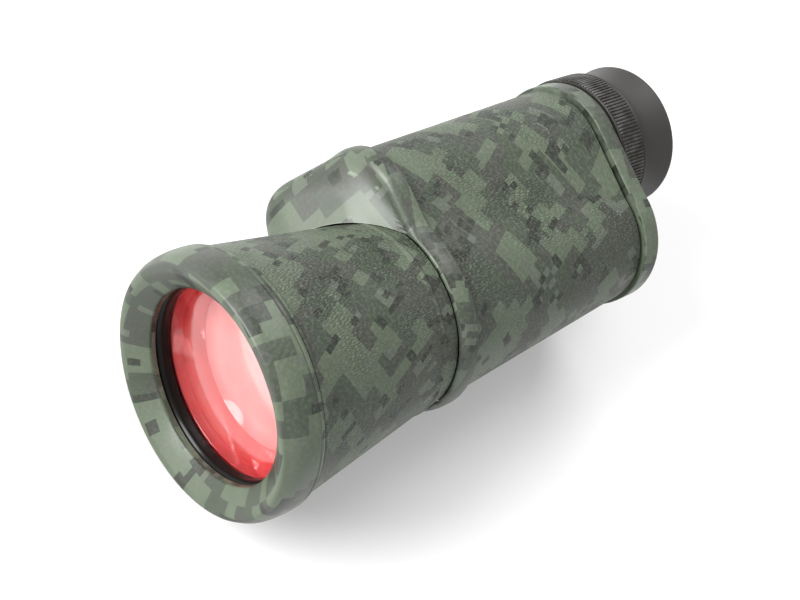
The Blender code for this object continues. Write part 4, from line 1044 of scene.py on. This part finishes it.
# %% One screw, placed three times
HEAD, CROWN, SHANK, SHANK_END = 1.9, 0.45, 1.0, -9.2
SLOT_SIZE = (6.0, 1.1, 0.55)
head_points = [(SHANK_END, 0.0), (SHANK_END, 0.8), (-9.0, SHANK), (-1.2, SHANK)]
head_points += [(-1.2, HEAD - 0.1), (-1.1, HEAD)]
for t in np.linspace(0, math.pi / 2, 5):
    head_points.append((-CROWN + CROWN * math.sin(t), HEAD - CROWN * (1 - math.cos(t))))
head_points += [(0.0, 0.0)]
bm = bmesh.new()
profile = [bm.verts.new((r * MM, y * MM, 0.0)) for y, r in head_points]
edges = [bm.edges.new(pair) for pair in zip(profile, profile[1:])]
full_turn = dict(cent=(0, 0, 0), axis=(0, 1, 0), angle=2 * math.pi, steps=40, use_merge=True)
bmesh.ops.spin(bm, geom=profile + edges, **full_turn)
bmesh.ops.remove_doubles(bm, verts=bm.verts, dist=1e-7)
bmesh.ops.recalc_face_normals(bm, faces=bm.faces)
screw = object_from("screw_pattern", bm)
cut(screw, "slot", object_from("slot_tool", block(*SLOT_SIZE)))

tree, source, output = new_group(
    "screws_on_points",
    [
        ("Geometry", GEOMETRY, None),
        ("Screw", OBJECT, None),
        ("Turn Step", FLOAT, 1.1),
        ("Material", MATERIAL, None),
    ],
    [("Geometry", GEOMETRY)],
    "GeometryNodeTree",
)
points, turn_step = source.outputs["Geometry"], source.outputs["Turn Step"]
copies = copies_on(tree, points, source.outputs["Screw"], "Y", turn_step)
finish_tree(tree, output, copies, source.outputs["Material"])
spots_mesh = bpy.data.meshes.new("screw_spots")
spots_mesh.from_pydata([AXIS + Vector((x, REAR_Y[1], z)) * MM for x, z in screw_spots], [], [])
screws = grown("rear_screws", tree, spots_mesh, {"Screw": screw, "Material": bright_steel})
bpy.data.objects.remove(screw)
replaced = [f"rear_cover_screw_{n}" for n in (1, 2, 3)]
dress(screws, bright_steel, "monocular_body", "steel", *replaced)

# %% [markdown]
# ## Eyepiece
#
# The focus ring is knurled with straight ribs. They repeat round a circle, so Geometry Nodes lay
# one rounded rib on every point of it. The plain ring underneath is turned like the others, with a
# fine bead at its front and a narrow raised land at its rear. The eyecup is soft rubber that flares
# to a thin rim.

# %% The focus ring
ring_front, ring_rear = along("focus_ring")
RIB_COUNT, RIB_CIRCLE = 136, 0.0231
GROUND, LAND, BORE, WELL = 23.15, 23.6, 16.2, 21.0
ring_corners = [
    (ring_front, BORE),
    (ring_front, 23.1, 0.3),
    (ring_front + 0.2, 23.3, 0.1),
    (ring_front + 0.5, GROUND, 0.1),
    (ring_rear - 1.5, GROUND, 0.1),
    (ring_rear - 1.1, LAND, 0.15),
    (ring_rear - 0.4, LAND, 0.2),
    (ring_rear, 23.1, 0.2),
    (ring_rear, WELL, 0.3),
    (ring_rear - 3.7, WELL, 0.2),
    (ring_rear - 3.7, BORE, 0.2),
]
focus_ring = turned_ring("focus_ring_body", ring_corners, EYE_AXIS, 0.1, 256, 30.0, 3)
dress(focus_ring, satin_black, "focus_ring", "black_alloy", "focus_ring")

# %% The ribs round it
tree, source, output = new_group(
    "ribs_round_a_ring",
    [
        ("Rib", OBJECT, None),
        ("Rib Count", "NodeSocketInt", RIB_COUNT),
        ("Ring Radius", FLOAT, RIB_CIRCLE),
        ("Material", MATERIAL, None),
    ],
    [("Geometry", GEOMETRY)],
    "GeometryNodeTree",
)
rib_count, radius = source.outputs["Rib Count"], source.outputs["Ring Radius"]
circle = place(tree, "GeometryNodeMeshCircle", {"Vertices": rib_count, "Radius": radius})
spacing = maths(tree, "DIVIDE", 2 * math.pi, rib_count)
copies = copies_on(tree, circle.outputs[0], source.outputs["Rib"], "Z", spacing)
finish_tree(tree, output, copies, source.outputs["Material"])
RIB_LENGTH, RIB_WIDTH, RIB_HEIGHT = ring_rear - ring_front - 2.2, 0.62, 0.5
bm = block(2 * RIB_HEIGHT, RIB_WIDTH, RIB_LENGTH)
outer_edges = [e for e in bm.edges if min(v.co.x for v in e.verts) > 0]
bmesh.ops.bevel(bm, geom=outer_edges, offset=0.18 * MM, segments=2, affect="EDGES", profile=0.6)
rib = object_from("rib_pattern", bm, 60.0)
empty_mesh = bpy.data.meshes.new("rib_start")
rib_values = {"Rib": rib, "Rib Count": RIB_COUNT, "Material": satin_black}
ribs = grown("focus_ring_ribs", tree, empty_mesh, rib_values)
bpy.data.objects.remove(rib)
middle = (ring_front + ring_rear - 1.0) / 2
to_axis = Matrix.Translation(EYE_AXIS + Vector((0, middle * MM, 0)))
ribs.data.transform(to_axis @ Matrix.Rotation(-math.pi / 2, 4, "X"))
dress(ribs, satin_black, "focus_ring", "black_alloy")

# %% The eyecup
CUP_Y = along("rubber_eyecup")
CUP_LENGTH = CUP_Y[1] - CUP_Y[0]
CUP_STEPS, CUP_RADIUS, CUP_FLARE, FLARE_POWER = 12, 21.4, 1.6, 2.2
cup_corners = [(CUP_Y[0], 11.7, 0.3), (CUP_Y[0], 21.2, 0.4)]
for n in range(1, CUP_STEPS + 1):
    share = n / CUP_STEPS
    flared = CUP_RADIUS + CUP_FLARE * share**FLARE_POWER
    cup_corners.append((CUP_Y[0] + CUP_LENGTH * 0.93 * share, flared, 0.4))
cup_corners += [
    (CUP_Y[1], 22.8, 0.5),
    (CUP_Y[1], 21.4, 0.5),
    (CUP_Y[1] - 3.0, 20.3, 1.0),
    (CUP_Y[0] + 7.0, 19.3, 2.0),
    (CUP_Y[0] + 2.8, 17.2, 1.5),
    (CUP_Y[0] + 1.9, 14.4, 0.6),
    (CUP_Y[0] + 1.6, 11.7, 0.3),
]
eyecup = turned_ring("eyecup", cup_corners, EYE_AXIS, 0.3, 224, 40.0, 4)
dress(eyecup, cup_rubber, "eyepiece", "black_rubber", "rubber_eyecup")

# %% The ring that keeps the eye lens
front, rear = along("eye_lens_retaining_ring")
keeper_corners = [(front, 9.6, 0.1), (front, 10.6, 0.1), (rear, 10.6, 0.1), (rear, 9.9, 0.2)]
keeper = turned_ring("eye_lens_ring", keeper_corners, EYE_AXIS, 0.1, 128, 30.0, 3)
dress(keeper, gloss_black, "eyepiece", "black_alloy", "eye_lens_retaining_ring")

# %% [markdown]
# ## Pieces kept from the frame
#
# The prisms, shelf, screws and inner rings have the right shape already, so they stay as they are
# and only take a finish.

# %% Finishes for the inner pieces
inner_finishes = {
    cast_metal: "body_housing prism_shelf",
    bright_steel: "front_prism_clip rear_prism_clip shelf_screw_1 shelf_screw_2 shelf_screw_3 "
    "focus_ring_nut focus_drive_pin",
    seal_rubber: "front_gasket objective_o_ring",
    optical_glass: "front_prism rear_prism field_lens ranging_reticle",
    matt_black: "objective_cell objective_baffle tube_lock_ring lens_spacer reticle_retaining_ring "
    "eyepiece_sleeve eyepiece_carrier",
}
for finish, names in inner_finishes.items():
    for name in names.split():
        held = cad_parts[name]
        held.data.materials.clear()
        held.data.materials.append(finish)
print("finished from the frame:", sum(len(names.split()) for names in inner_finishes.values()))

# %% [markdown]
# ## Stage, light and camera
#
# A pale floor and three large soft lamps give the even light of a catalogue picture. The strongest
# stands in front and to the left (negative x), a second hangs high on the left and a little behind,
# and a weak fill comes from the right. The camera looks down at the front of the object.

# %% The floor
floor_finish, tree, shader = new_material("pale_floor", {"Specular IOR Level": 0.2})
vector = turned_vector(tree, "Object", 0.0)
cloud = noise(tree, vector, 3.0, 2.0)
shades = mix_colour(tree, cloud, (0.86, 0.86, 0.86, 1), (0.88, 0.88, 0.88, 1))
surface(tree, shader, shades, cloud, 0.1, 0.8)
FLOOR_HALF, FLOOR_DROP = 4.0, 0.0003
bm = bmesh.new()
bmesh.ops.create_grid(bm, x_segments=4, y_segments=4, size=FLOOR_HALF)
floor = object_from("floor", bm)
floor.data.transform(Matrix.Translation((0, 0, -FLOOR_DROP)))
floor.data.materials.append(floor_finish)

# %% Light
LIT_SPOT = Vector((0.0, 0.0, 0.035))
WORLD_STRENGTH = 0.62
for name, spot, size, power in (
    ("front_softbox", (-0.5, -0.9, 0.5), 0.6, 22.0),
    ("top_softbox", (-0.6, 0.35, 0.9), 0.8, 8.0),
    ("fill_softbox", (0.9, -0.1, 0.45), 0.9, 2.0),
):
    light = bpy.data.lights.new(name, "AREA")
    light.shape = "DISK"
    light.size = size
    light.energy = power
    lamp = linked(name, light)
    lamp.location = spot
    lamp.rotation_euler = (LIT_SPOT - Vector(spot)).to_track_quat("-Z", "Y").to_euler()
world = bpy.data.worlds.new("studio")
bpy.context.scene.world = world
world.use_nodes = True
sky = world.node_tree.nodes["Background"]
sky.inputs["Color"].default_value = (1.0, 1.0, 1.0, 1.0)
sky.inputs["Strength"].default_value = WORLD_STRENGTH
bpy.context.scene.view_settings.view_transform = "Standard"

# %% Camera
CAMERA_SPOT = (0.02346, -0.25567, 0.32692)
LOOKS_TOWARDS, LOOKS_UP = (-0.0509, 0.6266, -0.7777), (-0.9082, 0.2949, 0.2971)
lens = bpy.data.cameras.new("camera")
lens.lens = 60.75
lens.sensor_width = 36.0
lens.clip_start = 0.01
camera = linked("camera", lens)
toward = Vector(LOOKS_TOWARDS).normalized()
side = toward.cross(Vector(LOOKS_UP)).normalized()
up = side.cross(toward)
facing = Matrix((side, up, -toward)).transposed().to_4x4()
camera.matrix_world = Matrix.Translation(CAMERA_SPOT) @ facing
bpy.context.scene.camera = camera
